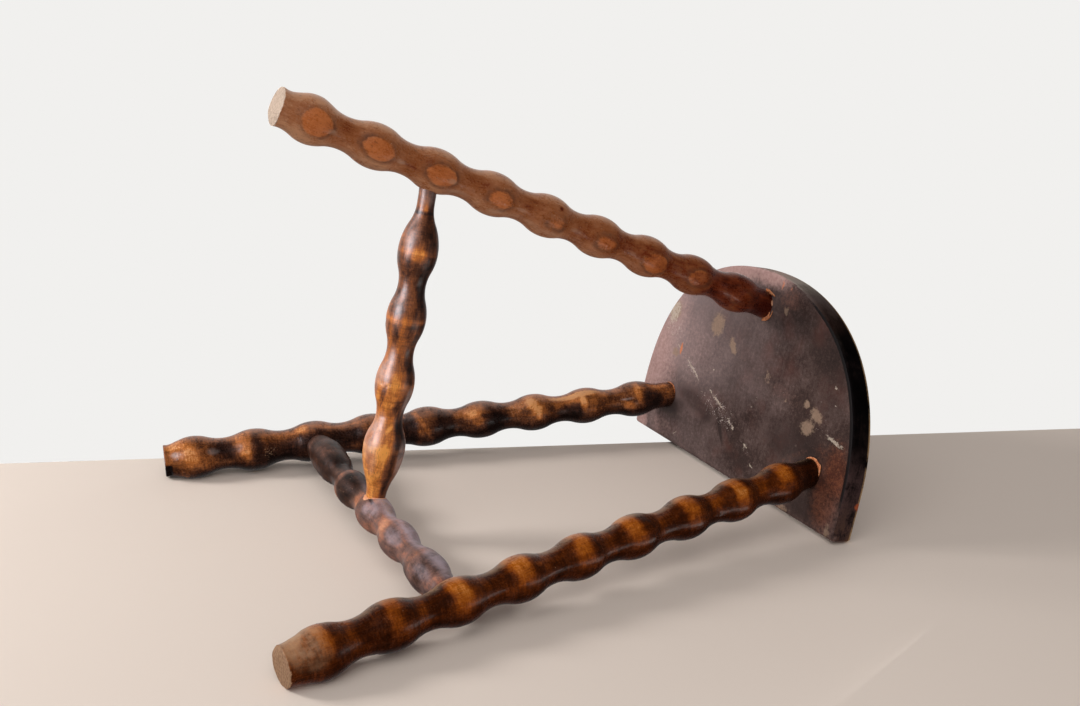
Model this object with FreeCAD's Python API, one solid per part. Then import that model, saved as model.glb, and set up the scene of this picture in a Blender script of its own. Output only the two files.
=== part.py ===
import FreeCAD, Part
import math
import os

Vector = FreeCAD.Vector

# Three-legged milking stool standing on its feet, all sizes in millimetres.
# The floor is z = 0. The straight edge of the seat faces +Y, the single front leg leans to -Y.

# Seat board
stool_height = 452.0
seat_thickness = 18.4
seat_width = 286.8
seat_depth = 179.6
seat_side_length = 33.6
seat_fullness = 0.88
seat_corner_radius = 3.4
seat_top_rounding = 3.0
seat_under_rounding = 2.6
seat_back_y = 93.1

# Places where the leg axes meet the underside of the seat and the floor
rear_socket_spacing = 203.1
rear_socket_from_back = 39.8
front_socket_from_back = 151.8
rear_foot_spacing = 336.2
foot_depth_spacing = 307.3
foot_wear = 2.0

# Bobbin turning of the legs, bead places measured along the leg
leg_bead_count = 9
leg_bead_radius = 15.8
leg_neck_radius = 11.3
leg_crest_share = 0.5
leg_first_bead_from_foot = 25.0
leg_last_bead_from_seat = 33.2
leg_straight_under_seat = 9.0
leg_foot_radius = 13.3
leg_foot_rounding = 0.8
leg_foot_hollow_radius = 12.5
leg_foot_hollow_height = 6.5

# Round tenons of the legs in the seat
leg_tenon_radius = 9.5
leg_tenon_depth = 12.0

# Cross rail between the rear legs, places measured from the leg axis
cross_rail_up_leg = 120.2
cross_rail_bead_count = 5
cross_rail_bead_radius = 13.4
cross_rail_neck_radius = 9.6
cross_rail_first_bead = 54.0
cross_rail_end_radius = 7.0
cross_rail_end_straight = 20.0

# Centre rail from the front leg to the middle of the cross rail
centre_rail_up_leg = 116.8
centre_rail_bead_count = 4
centre_rail_bead_radius = 14.3
centre_rail_last_bead_radius = 15.3
centre_rail_neck_radius = 9.8
centre_rail_first_bead = 57.8
centre_rail_last_bead = 51.5
centre_rail_end_radius = 6.2
centre_rail_front_straight = 25.0
centre_rail_back_straight = 14.5

# Shared sizes of the rails and of the glued joints
rail_crest_share = 0.55
rail_leaf_share = 0.4
rail_tenon_past_axis = 3.5
glue_gap = 0.15
socket_end_gap = 0.4

# Heights and reaches that follow from the sizes above
seat_under_z = stool_height - seat_thickness
trim_size = 4 * stool_height


def bend(level, joint):
    """Arc that leaves the point level along the turning axis and ends at the point joint."""
    run = joint.z - level.z
    rise = joint.x - level.x
    half_angle = math.atan2(rise, abs(run)) / 2
    reach = math.hypot(run, rise) / (2 * math.cos(half_angle))
    along = math.copysign(reach * math.cos(half_angle), run)
    middle = level + Vector(reach * math.sin(half_angle), 0, along)
    return Part.Arc(level, middle, joint).toShape()


def swell(start, end, share):
    """Two tangent arcs between two points of a turned outline, both ends along the axis."""
    joint = start + (end - start) * share
    return [bend(start, joint), bend(end, joint)]


def bobbin(crests, neck_radius, share):
    """Outline through the crests of turned beads, with a hollow neck half way between every two."""
    edges = []
    for lower, upper in zip(crests, crests[1:]):
        neck = Vector(neck_radius, 0, (lower.z + upper.z) / 2)
        edges += swell(lower, neck, share)
        edges += swell(neck, upper, 1 - share)
    return edges


def even_crests(first, last, count, radius):
    """Crest points of evenly spread beads from first to last."""
    pitch = (last - first) / (count - 1)
    return [Vector(radius, 0, first + pitch * index) for index in range(count)]


def spin(edges, start, end):
    """Solid of revolution about Z from the outline edges that run from start to end."""
    foot = Vector(0, 0, start.z)
    head = Vector(0, 0, end.z)
    closing = [
        Part.makeLine(foot, start),
        Part.makeLine(end, head),
        Part.makeLine(head, foot),
    ]
    outline = Part.Wire(Part.__sortEdges__(edges + closing))
    return Part.Face(outline).revolve(Vector(0, 0, 0), Vector(0, 0, 1), 360)


def stand_along(shape, start, direction):
    """The shape turned so that its Z axis runs along direction from start."""
    shape.Placement = FreeCAD.Placement(start, FreeCAD.Rotation(Vector(0, 0, 1), direction))
    return shape


def round_bar(radius, start, end):
    """Cylinder between two points."""
    axis = end - start
    return Part.makeCylinder(radius, axis.Length, start, axis)


def level_block(z_low, z_high):
    """Wide block between two heights, for level cuts."""
    corner = Vector(-trim_size / 2, -trim_size / 2, z_low)
    return Part.makeBox(trim_size, trim_size, z_high - z_low, corner)


class LegLine:
    """Axis of one leg from the middle of its foot to the underside of the seat."""

    def __init__(self, top_x, top_y, foot_x, foot_y):
        spread = math.hypot(foot_x - top_x, foot_y - top_y)
        lean = math.atan2(spread, seat_under_z)
        foot_z = leg_foot_radius * math.sin(lean) - foot_wear
        self.foot = Vector(foot_x, foot_y, foot_z)
        self.top = Vector(top_x, top_y, seat_under_z)
        self.length = (self.top - self.foot).Length
        self.direction = (self.top - self.foot).normalize()

    def at(self, distance):
        return self.foot + self.direction * distance

    def tenon_tip(self):
        return self.top + self.direction * (leg_tenon_depth / self.direction.z)


def leg_lines():
    """The three leg axes by name."""
    rear_top_y = seat_back_y - rear_socket_from_back
    front_top_y = seat_back_y - front_socket_from_back
    rear_foot_y = foot_depth_spacing / 2
    lines = {"leg_front": LegLine(0, front_top_y, 0, -foot_depth_spacing / 2)}
    for name, side in (("leg_rear_right", 1), ("leg_rear_left", -1)):
        top_x = side * rear_socket_spacing / 2
        foot_x = side * rear_foot_spacing / 2
        lines[name] = LegLine(top_x, rear_top_y, foot_x, rear_foot_y)
    return lines


def rail_lines(lines):
    """End points of the two rails on the axes of the pieces that they join."""
    right = lines["leg_rear_right"].at(cross_rail_up_leg)
    left = lines["leg_rear_left"].at(cross_rail_up_leg)
    front = lines["leg_front"].at(centre_rail_up_leg)
    return {"rail_cross": (left, right), "rail_centre": (front, (left + right) / 2)}


def rail_socket(radius, outside, axis_point):
    """Blind hole for a rail end that enters from outside and stops past the axis of the pierced piece."""
    inward = (axis_point - outside).normalize()
    tip = axis_point + inward * (rail_tenon_past_axis + socket_end_gap)
    return round_bar(radius + glue_gap, outside, tip)


def make_leg(line, socket):
    """One turned leg, trimmed level at the seat and at its worn foot, with its tenon and rail socket."""
    crests = even_crests(
        leg_first_bead_from_foot,
        line.length - leg_last_bead_from_seat,
        leg_bead_count,
        leg_bead_radius,
    )
    rim = Vector(leg_foot_radius, 0, leg_foot_rounding)
    sole_edge = Vector(leg_foot_radius - leg_foot_rounding, 0, 0)
    hollow = Vector(leg_foot_hollow_radius, 0, leg_foot_hollow_height)
    neck = Vector(leg_neck_radius, 0, line.length - leg_straight_under_seat)
    head = Vector(leg_neck_radius, 0, line.length + leg_neck_radius)
    edges = [bend(rim, sole_edge), bend(hollow, rim)]
    edges += swell(hollow, crests[0], leg_crest_share)
    edges += bobbin(crests, leg_neck_radius, leg_crest_share)
    edges += swell(crests[-1], neck, leg_crest_share)
    edges.append(Part.makeLine(neck, head))
    body = stand_along(spin(edges, sole_edge, head), line.foot, line.direction)
    above_seat = level_block(seat_under_z, seat_under_z + trim_size)
    below_floor = level_block(-trim_size, 0)
    trimmed = body.cut([above_seat, below_floor, socket])
    tenon = round_bar(leg_tenon_radius, line.at(line.length - leg_straight_under_seat), line.tenon_tip())
    return trimmed.fuse(tenon).removeSplitter()


def make_rail(start, end, crests, radii, straights):
    """One turned rail whose plain round ends run on past both axis points as tenons."""
    neck_radius, end_radius = radii
    start_straight, end_straight = straights
    axis = end - start
    first_tip = Vector(end_radius, 0, -rail_tenon_past_axis)
    first_leaf = Vector(end_radius, 0, start_straight)
    last_leaf = Vector(end_radius, 0, axis.Length - end_straight)
    last_tip = Vector(end_radius, 0, axis.Length + rail_tenon_past_axis)
    edges = [Part.makeLine(first_tip, first_leaf)]
    edges += swell(first_leaf, crests[0], rail_leaf_share)
    edges += bobbin(crests, neck_radius, rail_crest_share)
    edges += swell(crests[-1], last_leaf, 1 - rail_leaf_share)
    edges.append(Part.makeLine(last_leaf, last_tip))
    return stand_along(spin(edges, first_tip, last_tip), start, axis)


def make_cross_rail(rails):
    """Rail between the rear legs, its middle bead bored for the centre rail."""
    left, right = rails["rail_cross"]
    front, middle = rails["rail_centre"]
    crests = even_crests(
        cross_rail_first_bead,
        (right - left).Length - cross_rail_first_bead,
        cross_rail_bead_count,
        cross_rail_bead_radius,
    )
    radii = (cross_rail_neck_radius, cross_rail_end_radius)
    straights = (cross_rail_end_straight, cross_rail_end_straight)
    rail = make_rail(left, right, crests, radii, straights)
    return rail.cut(rail_socket(centre_rail_end_radius, front, middle))


def make_centre_rail(rails):
    """Rail from the front leg to the middle of the cross rail."""
    front, middle = rails["rail_centre"]
    crests = even_crests(
        centre_rail_first_bead,
        (middle - front).Length - centre_rail_last_bead,
        centre_rail_bead_count,
        centre_rail_bead_radius,
    )
    crests[-1].x = centre_rail_last_bead_radius
    radii = (centre_rail_neck_radius, centre_rail_end_radius)
    straights = (centre_rail_front_straight, centre_rail_back_straight)
    return make_rail(front, middle, crests, radii, straights)


def shoulder_curve(side_point, corner, crown_point):
    """Conic shoulder of the seat, tangent to the side and to the crown."""
    curve = Part.BezierCurve()
    curve.setPoles([side_point, corner, crown_point])
    curve.setWeight(2, seat_fullness)
    return curve.toShape()


def seat_outline():
    """Closed outline of the seat: straight back, rounded corners, short sides and a full round front."""
    half = seat_width / 2
    back = seat_back_y
    side_y = back - seat_side_length
    front = back - seat_depth
    z = seat_under_z
    crown = Vector(0, front, z)
    inset = seat_corner_radius * (1 - math.sqrt(0.5))
    edges = []
    for side in (1, -1):
        side_end = Vector(side * half, side_y, z)
        side_start = Vector(side * half, back - seat_corner_radius, z)
        corner_middle = Vector(side * (half - inset), back - inset, z)
        back_end = Vector(side * (half - seat_corner_radius), back, z)
        edges.append(shoulder_curve(side_end, Vector(side * half, front, z), crown))
        edges.append(Part.makeLine(side_start, side_end))
        edges.append(Part.Arc(side_start, corner_middle, back_end).toShape())
    back_run = half - seat_corner_radius
    edges.append(Part.makeLine(Vector(-back_run, back, z), Vector(back_run, back, z)))
    return Part.Wire(Part.__sortEdges__(edges))


def rim_edges(board, height):
    """Edges of the board that lie at one height."""
    return [edge for edge in board.Edges if abs(edge.CenterOfMass.z - height) < glue_gap]


def make_seat(lines):
    """Seat board with eased rims and three leaning blind sockets."""
    board = Part.Face(seat_outline()).extrude(Vector(0, 0, seat_thickness))
    board = board.makeFillet(seat_top_rounding, rim_edges(board, stool_height))
    board = board.makeFillet(seat_under_rounding, rim_edges(board, seat_under_z))
    for line in lines.values():
        mouth = line.at(line.length - leg_straight_under_seat)
        bottom = line.tenon_tip() + line.direction * socket_end_gap
        board = board.cut(round_bar(leg_tenon_radius + glue_gap, mouth, bottom))
    return board


def make_pieces():
    """Every piece of the stool by node name."""
    lines = leg_lines()
    rails = rail_lines(lines)
    left, right = rails["rail_cross"]
    front, middle = rails["rail_centre"]
    leg_sockets = {
        "leg_rear_left": rail_socket(cross_rail_end_radius, middle, left),
        "leg_rear_right": rail_socket(cross_rail_end_radius, middle, right),
        "leg_front": rail_socket(centre_rail_end_radius, middle, front),
    }
    pieces = {"seat": make_seat(lines)}
    for name, line in lines.items():
        pieces[name] = make_leg(line, leg_sockets[name])
    pieces["rail_cross"] = make_cross_rail(rails)
    pieces["rail_centre"] = make_centre_rail(rails)
    return pieces


os.makedirs("parts", exist_ok=True)
for node, piece in make_pieces().items():
    piece.exportStep("parts/" + node + ".step")
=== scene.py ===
# %% [markdown]
# # A bobbin-turned milking stool
# The stool has a half-round seat board, three splayed legs turned as strings of beads, and two turned
# rails that brace them. The CAD frame gives every size and place. This script dresses that frame: it
# turns each piece again on a finer mesh, paints the stain, wear and damage as attributes on the mesh, and
# lets one family of wood materials read them.

# %% The fixed frame
import math
import random

import bmesh
import bpy
from mathutils import Matrix, Quaternion, Vector, noise


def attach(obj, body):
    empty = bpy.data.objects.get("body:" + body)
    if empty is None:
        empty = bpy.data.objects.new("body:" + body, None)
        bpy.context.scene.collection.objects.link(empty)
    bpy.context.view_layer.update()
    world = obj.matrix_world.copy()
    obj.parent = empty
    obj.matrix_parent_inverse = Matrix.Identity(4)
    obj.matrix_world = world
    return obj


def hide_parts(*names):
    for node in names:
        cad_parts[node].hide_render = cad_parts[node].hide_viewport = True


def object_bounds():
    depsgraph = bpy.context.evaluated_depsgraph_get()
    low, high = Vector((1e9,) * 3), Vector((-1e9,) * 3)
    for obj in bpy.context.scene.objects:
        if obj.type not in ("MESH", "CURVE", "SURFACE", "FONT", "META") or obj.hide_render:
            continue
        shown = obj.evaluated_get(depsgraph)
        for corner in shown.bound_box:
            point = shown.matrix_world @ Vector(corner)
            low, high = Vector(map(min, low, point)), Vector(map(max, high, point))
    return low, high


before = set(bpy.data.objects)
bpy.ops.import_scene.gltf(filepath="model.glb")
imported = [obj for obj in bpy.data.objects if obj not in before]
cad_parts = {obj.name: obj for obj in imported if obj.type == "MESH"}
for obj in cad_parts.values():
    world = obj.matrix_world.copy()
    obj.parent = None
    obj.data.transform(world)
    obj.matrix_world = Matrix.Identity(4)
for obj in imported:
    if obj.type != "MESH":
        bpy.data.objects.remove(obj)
cad_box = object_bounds()
MM = 0.001
print("frame nodes:", sorted(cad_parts))

# %% [markdown]
# ## The camera
# The stool lies on the back edge of its seat and on its two rear feet, so the viewer looks at the
# underside. In the stool's own frame the camera is therefore low and to the right, and rolled until the
# front leg is uppermost. The place and turn were worked out once from the leg lines, and are plain
# numbers.

# %% Camera
CAMERA_LENS = 41.53
CAMERA_PLACE = Vector((798.7, -205.8, -239.3)) * MM
CAMERA_TURN = Quaternion((0.043981, 0.853565, -0.138887, 0.500203))

camera_data = bpy.data.cameras.new("stool_camera")
camera_data.sensor_width = 36.0
camera_data.lens = CAMERA_LENS
camera_data.clip_start = 0.01
camera_data.clip_end = 50.0
camera = bpy.data.objects.new("stool_camera", camera_data)
camera.location = CAMERA_PLACE
camera.rotation_mode = "QUATERNION"
camera.rotation_quaternion = CAMERA_TURN
bpy.context.scene.collection.objects.link(camera)
bpy.context.scene.camera = camera
bpy.context.scene.view_settings.view_transform = "Standard"

turn = camera.rotation_quaternion.to_matrix()
view_right, view_up, view_back = (turn @ Vector(axis) for axis in ((1, 0, 0), (0, 1, 0), (0, 0, 1)))
print("camera looks along", [round(c, 3) for c in -view_back])

# %% [markdown]
# ## Small tools for shader nodes
# A node tree reads best when each line makes one node and says what feeds it. The first two helpers make
# a node, set its options, and fill each input with a plain value or with a link from another socket. The
# others are short names for the nodes that come up again and again.

# %% Node helpers
def feed(tree, target, inputs):
    """Fill inputs of a node, each with a plain value or with a link from a socket."""
    for key, value in inputs.items():
        if isinstance(value, bpy.types.NodeSocket):
            tree.links.new(value, target.inputs[key])
        else:
            target.inputs[key].default_value = value


def node(tree, kind, inputs=None, **options):
    """One shader node with its options and its inputs."""
    made = tree.nodes.new("ShaderNode" + kind)
    for key, value in options.items():
        setattr(made, key, value)
    feed(tree, made, inputs or {})
    return made


def attribute(tree, name, output="Fac"):
    """A socket that reads one painted attribute of the mesh."""
    return node(tree, "Attribute", attribute_name=name).outputs[output]


def calc(tree, operation, *values):
    """A Math node over one, two or three values."""
    return node(tree, "Math", dict(enumerate(values)), operation=operation).outputs[0]


def times(tree, first, *others):
    """Product of two or more values."""
    for other in others:
        first = calc(tree, "MULTIPLY", first, other)
    return first


def add_share(tree, value, amount, start):
    """A start with some amount of a value added."""
    return calc(tree, "MULTIPLY_ADD", value, amount, start)


def fade(tree, value, low, high):
    """Smooth step of a value from 0 at low to 1 at high."""
    inputs = {"Value": value, "From Min": low, "From Max": high}
    return node(tree, "MapRange", inputs, interpolation_type="SMOOTHSTEP").outputs[0]


def blend(tree, factor, under, over):
    """Two colours mixed by a factor."""
    return node(tree, "Mix", {0: factor, 6: under, 7: over}, data_type="RGBA").outputs[2]


def ramp(tree, value, stops):
    """A colour ramp from stops of (place, red, green, blue), in paint chart numbers."""
    made = node(tree, "ValToRGB", {0: value})
    elements = made.color_ramp.elements
    while len(elements) < len(stops):
        elements.new(1.0)
    for element, (place, *colour) in zip(elements, stops):
        element.position = place
        element.color = paint(*colour)
    return made.outputs[0]


def speckle(tree, place, scale, detail, roughness=0.5):
    """A noise from 0 to 1 over a place."""
    inputs = {"Vector": place, "Scale": scale, "Detail": detail, "Roughness": roughness}
    return node(tree, "TexNoise", inputs).outputs["Fac"]


def bumpy(tree, height, strength, distance):
    """A surface direction that follows a height."""
    return node(tree, "Bump", {"Strength": strength, "Distance": distance, "Height": height}).outputs[0]


def paint(red, green, blue):
    """Linear colour from the 0 to 255 numbers that a paint chart would give."""
    parts = []
    for level in (red, green, blue):
        part = level / 255
        parts.append(part / 12.92 if part <= 0.04045 else ((part + 0.055) / 1.055) ** 2.4)
    return (*parts, 1.0)


def new_material(name):
    """A material with an empty tree, its Principled shader and its output."""
    material = bpy.data.materials.new(name)
    material.use_nodes = True
    tree = material.node_tree
    tree.nodes.clear()
    shader = node(tree, "BsdfPrincipled")
    output = node(tree, "OutputMaterial", {"Surface": shader.outputs[0]})
    return material, tree, shader, output


# %% [markdown]
# ## The floor
# The floor that the stool lies on is a plane through the back edge of the seat and the two rear feet. It
# ends in a straight line behind the stool, and the pale world shows above that line. The plane is seen
# from its upper side only, so the views of the standing stool from behind look through it. A second floor
# lies under the feet at height zero for those views. Only camera rays see it, and only from above.

# %% Floor planes
def stage_plane(name, size, matrix, colour, unseen):
    """A one-sided floor that shows its colour on the front and nothing on the back."""
    bm = bmesh.new()
    bmesh.ops.create_grid(bm, x_segments=1, y_segments=1, size=size, matrix=matrix)
    mesh = bpy.data.meshes.new(name)
    bm.to_mesh(mesh)
    bm.free()
    material, tree, shader, output = new_material(name + "_paint")
    feed(tree, shader, {"Base Color": colour, "Roughness": 0.75, "Specular IOR Level": 0.2})
    back = node(tree, "NewGeometry").outputs["Backfacing"]
    clear = node(tree, "BsdfTransparent").outputs[0]
    shown = node(tree, "MixShader", {0: back, 1: shader.outputs[0], 2: clear}).outputs[0]
    feed(tree, output, {"Surface": shown})
    mesh.materials.append(material)
    plane = bpy.data.objects.new(name, mesh)
    for ray in unseen:
        setattr(plane, "visible_" + ray, False)
    bpy.context.scene.collection.objects.link(plane)


FLOOR_SIZE, STANDING_SIZE = 3.0, 1.6
FLOOR_NORMAL = Vector((0, -0.9866, -0.1632)).normalized()
FAR_LINE = Vector((266.0, -158.4, 957.7)).normalized()
FAR_POINT = Vector((-122.1, 114.6, 322.3)) * MM
nearer = FAR_LINE.cross(FLOOR_NORMAL)
floor_axes = Matrix((nearer.cross(FLOOR_NORMAL), nearer, FLOOR_NORMAL)).transposed().to_4x4()
floor_place = Matrix.Translation(FAR_POINT + nearer * FLOOR_SIZE) @ floor_axes
stage_plane("lying_floor", FLOOR_SIZE, floor_place, paint(226, 210, 196), ("shadow", "diffuse", "glossy"))
stage_plane(
    "standing_floor", STANDING_SIZE, Matrix.Identity(4), paint(238, 232, 224),
    ("shadow", "diffuse", "glossy", "transmission"),
)
print("floor normal", [round(c, 3) for c in FLOOR_NORMAL])

# %% [markdown]
# ## Light
# Four soft lamps light the stool: one from the left, a fill near the viewer, a warm bounce off the floor,
# and one overhead for the views of the standing stool. A lamp's strength is the light on a surface that
# faces it. All of them with the world come to about 1 on the side towards the viewer, so a colour renders
# about as it is written. The polish sees other shapes: pale panels on the left and right make the milky
# patches on the beads, and low glows make the thin streaks under them. Panels and glows do not light the
# stool, they only show in reflections.

# %% Lamps
DAYLIGHT, FLOOR_GLOW = (0.97, 0.98, 1.0), (1.0, 0.88, 0.76)
COOL, WARM = (0.93, 0.93, 1.0), (1.0, 0.97, 0.94)
stool_middle = (cad_box[0] + cad_box[1]) / 2


def in_view(right, up, back):
    """Direction in the stool's frame from its parts across, up and towards the viewer."""
    return (view_right * right + view_up * up + view_back * back).normalized()


def lamp_at(name, place, size, energy, colour, hidden):
    """An area lamp turned to the middle of the stool, that some kinds of ray do not see."""
    data = bpy.data.lights.new(name, "AREA")
    data.shape = "RECTANGLE"
    data.size, data.size_y = size
    data.energy = energy
    data.color = colour
    lamp = bpy.data.objects.new(name, data)
    lamp.location = place
    side = (place - stool_middle).normalized()
    across = view_up.cross(side).normalized()
    lamp.rotation_euler = Matrix((across, side.cross(across), side)).transposed().to_euler()
    for ray in ("camera", hidden):
        setattr(lamp, "visible_" + ray, False)
    bpy.context.scene.collection.objects.link(lamp)


def soft_lamp(name, side, distance, size, strength, colour=DAYLIGHT):
    """A lamp on one side of the stool that the polish does not see."""
    energy = strength * (math.pi * distance) ** 2
    lamp_at(name, stool_middle + side * distance, (size, size), energy, colour, "glossy")


def panel(name, place, size, level, colour):
    """A bright rectangle that shows only in the polish."""
    energy = level * math.pi * size[0] * size[1]
    lamp_at(name, Vector(place) * MM, size, energy, colour, "diffuse")


soft_lamp("left_lamp", in_view(-0.88, 0.42, 0.16), 1.5, 0.4, 0.65)
soft_lamp("fill_lamp", in_view(-0.1, 0.5, 0.86), 1.6, 1.8, 0.57)
soft_lamp("bounce_lamp", in_view(0.15, -0.9, 0.4), 1.2, 0.9, 0.4, FLOOR_GLOW)
soft_lamp("overhead_lamp", Vector((-0.5, -0.1, 0.86)).normalized(), 1.6, 0.8, 0.3)
for name, place, size, level, colour in (
    ("front_panel", (294, -196, -1325), (0.8, 0.9), 19.0, COOL),
    ("side_panel", (-677, -573, -913), (0.6, 0.6), 4.0, COOL),
    ("right_panel", (754, -86, 875), (0.45, 0.45), 0.3, COOL),
    ("right_glow", (290, 108, 360), (0.3, 0.03), 6.0, WARM),
    ("middle_glow", (25, 122, 270), (0.09, 0.09), 0.5, WARM),
):
    panel(name, place, size, level, colour)
print("four lamps, three panels and two glows")

# %% [markdown]
# ## The world
# The world has three faces. Camera rays see one even pale colour. Polished wood sees a pale side behind
# the stool that darkens to the right, towards the viewer and towards the floor, as it would in a deep dim
# place, and that is what keeps dark stain dark. All other rays get an even fill.

# %% World
world = bpy.data.worlds.new("pale_world")
bpy.context.scene.world = world
world.use_nodes = True
tree = world.node_tree
tree.nodes.clear()
direction = node(tree, "TexCoord").outputs["Generated"]
behind, rightward, upward = (
    node(tree, "VectorMath", {0: direction, 1: axis}, operation="DOT_PRODUCT").outputs["Value"]
    for axis in (-view_back, view_right, view_up)
)
pale_share = add_share(tree, fade(tree, rightward, 0.1, 0.8), -0.8, 0.95)
mirror_level = add_share(tree, fade(tree, behind, -0.05, 0.5), pale_share, 0.02)
above_floor = add_share(tree, fade(tree, upward, -0.3, 0.1), 0.8, 0.2)
mirror_level = times(tree, mirror_level, above_floor)
fill = node(tree, "Background", {"Color": (0.98, 0.98, 1.0, 1), "Strength": 0.28})
mirrored = node(tree, "Background", {"Color": (1.0, 0.98, 0.97, 1), "Strength": mirror_level})
seen = node(tree, "Background", {"Color": paint(241, 240, 238), "Strength": 1.0})
rays = node(tree, "LightPath").outputs
lit = node(tree, "MixShader", {0: rays["Is Glossy Ray"], 1: fill.outputs[0], 2: mirrored.outputs[0]})
whole = node(tree, "MixShader", {0: rays["Is Camera Ray"], 1: lit.outputs[0], 2: seen.outputs[0]})
node(tree, "OutputWorld", {"Surface": whole.outputs[0]})
print("world with", len(tree.nodes), "nodes")

# %% [markdown]
# ## Leg lines
# The legs and rails lie on straight axes. Each axis runs from the middle of a foot to the underside of
# the seat, and the rails run between points on those axes. These are the frame's own sizes, in
# millimetres, and every turned piece below is placed by them.

# %% Axes of the turned pieces
SEAT_UNDER = 433.6
SEAT_TOP = 452.0
FOOT_RADIUS = 13.3
FOOT_WEAR = 2.0
CROSS_UP_LEG, CENTRE_UP_LEG = 120.2, 116.8


def leg_axis(top_x, top_y, foot_x, foot_y):
    """Foot point and top point of one leg axis."""
    lean = math.atan2(math.hypot(foot_x - top_x, foot_y - top_y), SEAT_UNDER)
    foot = Vector((foot_x, foot_y, FOOT_RADIUS * math.sin(lean) - FOOT_WEAR))
    return foot, Vector((top_x, top_y, SEAT_UNDER))


def along(axis, distance):
    """Point on an axis at a distance from its start."""
    start, end = axis
    return start + (end - start).normalized() * distance


axes = {
    "leg_front": leg_axis(0, -58.7, 0, -153.65),
    "leg_rear_right": leg_axis(101.55, 53.3, 168.1, 153.65),
    "leg_rear_left": leg_axis(-101.55, 53.3, -168.1, 153.65),
}
left_end = along(axes["leg_rear_left"], CROSS_UP_LEG)
right_end = along(axes["leg_rear_right"], CROSS_UP_LEG)
axes["rail_cross"] = (left_end, right_end)
axes["rail_centre"] = (along(axes["leg_front"], CENTRE_UP_LEG), (left_end + right_end) / 2)
lengths = {name: (end - start).length for name, (start, end) in axes.items()}
print({name: round(length, 1) for name, length in lengths.items()})

# %% [markdown]
# ## Turned outlines
# A turner's outline is a chain of round bellies and round hollows that flow into each other. Each run
# from a crest to a neck is two arcs that start level and meet with one slope. The helpers give the radius
# at any distance along the piece, so the outline can be as fine as the mesh needs. The beads of the cross
# rail were turned by eye: they lean towards the right leg, with a fuller flank on that side.

# %% Outline helpers
def bend(distance, run, rise):
    """Rise of an arc that starts level and has climbed rise after run."""
    reach = (run * run + rise * rise) / (2 * rise)
    return reach - math.copysign(math.sqrt(reach * reach - distance * distance), reach)


def swell(distance, run, rise, share):
    """Rise along two arcs, level at both ends, that meet at a share of the run."""
    joint = run * share
    if distance < joint:
        return bend(distance, joint, rise * share)
    return rise - bend(run - distance, run - joint, rise * (1 - share))


def beads(first, last, crests, neck, shares):
    """Knots (place, radius, share) of a row of beads, with the round shares of their two flanks."""
    before, after = shares
    pitch = (last - first) / (len(crests) - 1)
    knots = []
    for index, crest in enumerate(crests):
        knots.append((first + pitch * index, crest, after))
        knots.append((first + pitch * (index + 0.5), neck, 1 - before))
    return knots[:-1]


def radius_at(knots, place):
    """Radius of a turned outline at a place along it."""
    if place <= knots[0][0]:
        return knots[0][1]
    for (start, low, share), (end, high, _) in zip(knots, knots[1:]):
        if place < end:
            return low if low == high else low + swell(place - start, end - start, high - low, share)
    return knots[-1][1]


FOOT_KNOTS = [(0.8, FOOT_RADIUS, 0.0), (6.5, 12.5, 0.5)]
LEG_BEADS, LEG_CREST, LEG_NECK = 9, 15.8, 11.3
FIRST_BEAD, LAST_BEAD, PLAIN_NECK = 25.0, 33.2, 9.0
EVEN, FIRST_FLANK, LAST_FLANK = 0.5, 0.4, 0.6
CROSS_FIRST, CROSS_LAST, CROSS_NECK = 58.0, 50.5, 9.6
CROSS_CRESTS, CROSS_LEAN = [13.4] * 5, (0.4, 0.7)
CENTRE_FIRST, CENTRE_LAST, CENTRE_NECK = 59.0, 51.0, 9.8
CENTRE_CRESTS, CENTRE_LEAN = [14.3, 14.3, 14.3, 15.3], (0.55, 0.55)


def leg_knots(length):
    """Outline of a leg: flared rim of the foot, hollow, nine beads, plain neck under the seat."""
    row = beads(FIRST_BEAD, length - LAST_BEAD, [LEG_CREST] * LEG_BEADS, LEG_NECK, (EVEN, EVEN))
    return FOOT_KNOTS + row + [(length - PLAIN_NECK, LEG_NECK, EVEN)]


def rail_knots(length, ends, straights, row):
    """Outline of a rail from one plain end to the other, with its own shares on the outer flanks."""
    place, radius, _ = row[-1]
    first = (straights[0], ends[0], FIRST_FLANK)
    last = (length - straights[1], ends[1], EVEN)
    return [first, *row[:-1], (place, radius, LAST_FLANK), last]


outlines = {name: leg_knots(lengths[name]) for name in axes if name.startswith("leg")}
cross_length, centre_length = lengths["rail_cross"], lengths["rail_centre"]
cross_row = beads(CROSS_FIRST, cross_length - CROSS_LAST, CROSS_CRESTS, CROSS_NECK, CROSS_LEAN)
outlines["rail_cross"] = rail_knots(cross_length, (7.0, 7.0), (20.0, 20.0), cross_row)
centre_row = beads(CENTRE_FIRST, centre_length - CENTRE_LAST, CENTRE_CRESTS, CENTRE_NECK, CENTRE_LEAN)
outlines["rail_centre"] = rail_knots(centre_length, (6.2, 7.2), (25.0, 11.0), centre_row)
print({name: len(knots) for name, knots in outlines.items()}, "knots")

# %% [markdown]
# ## Turning a piece
# The lathe in Blender is the spin operator: a chain of vertices swept once round an axis. The chain is
# made along Z, swept, and welded. While the piece still stands upright on its own axis, each vertex knows
# how far along and how far round it is. That is the moment to press dents into it, to bow it a little and
# to paint it. Then a matrix lays the piece on its axis in the stool.

# %% Lathe
ROUNDING = 0.8
SOLE_RINGS = 6


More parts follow.
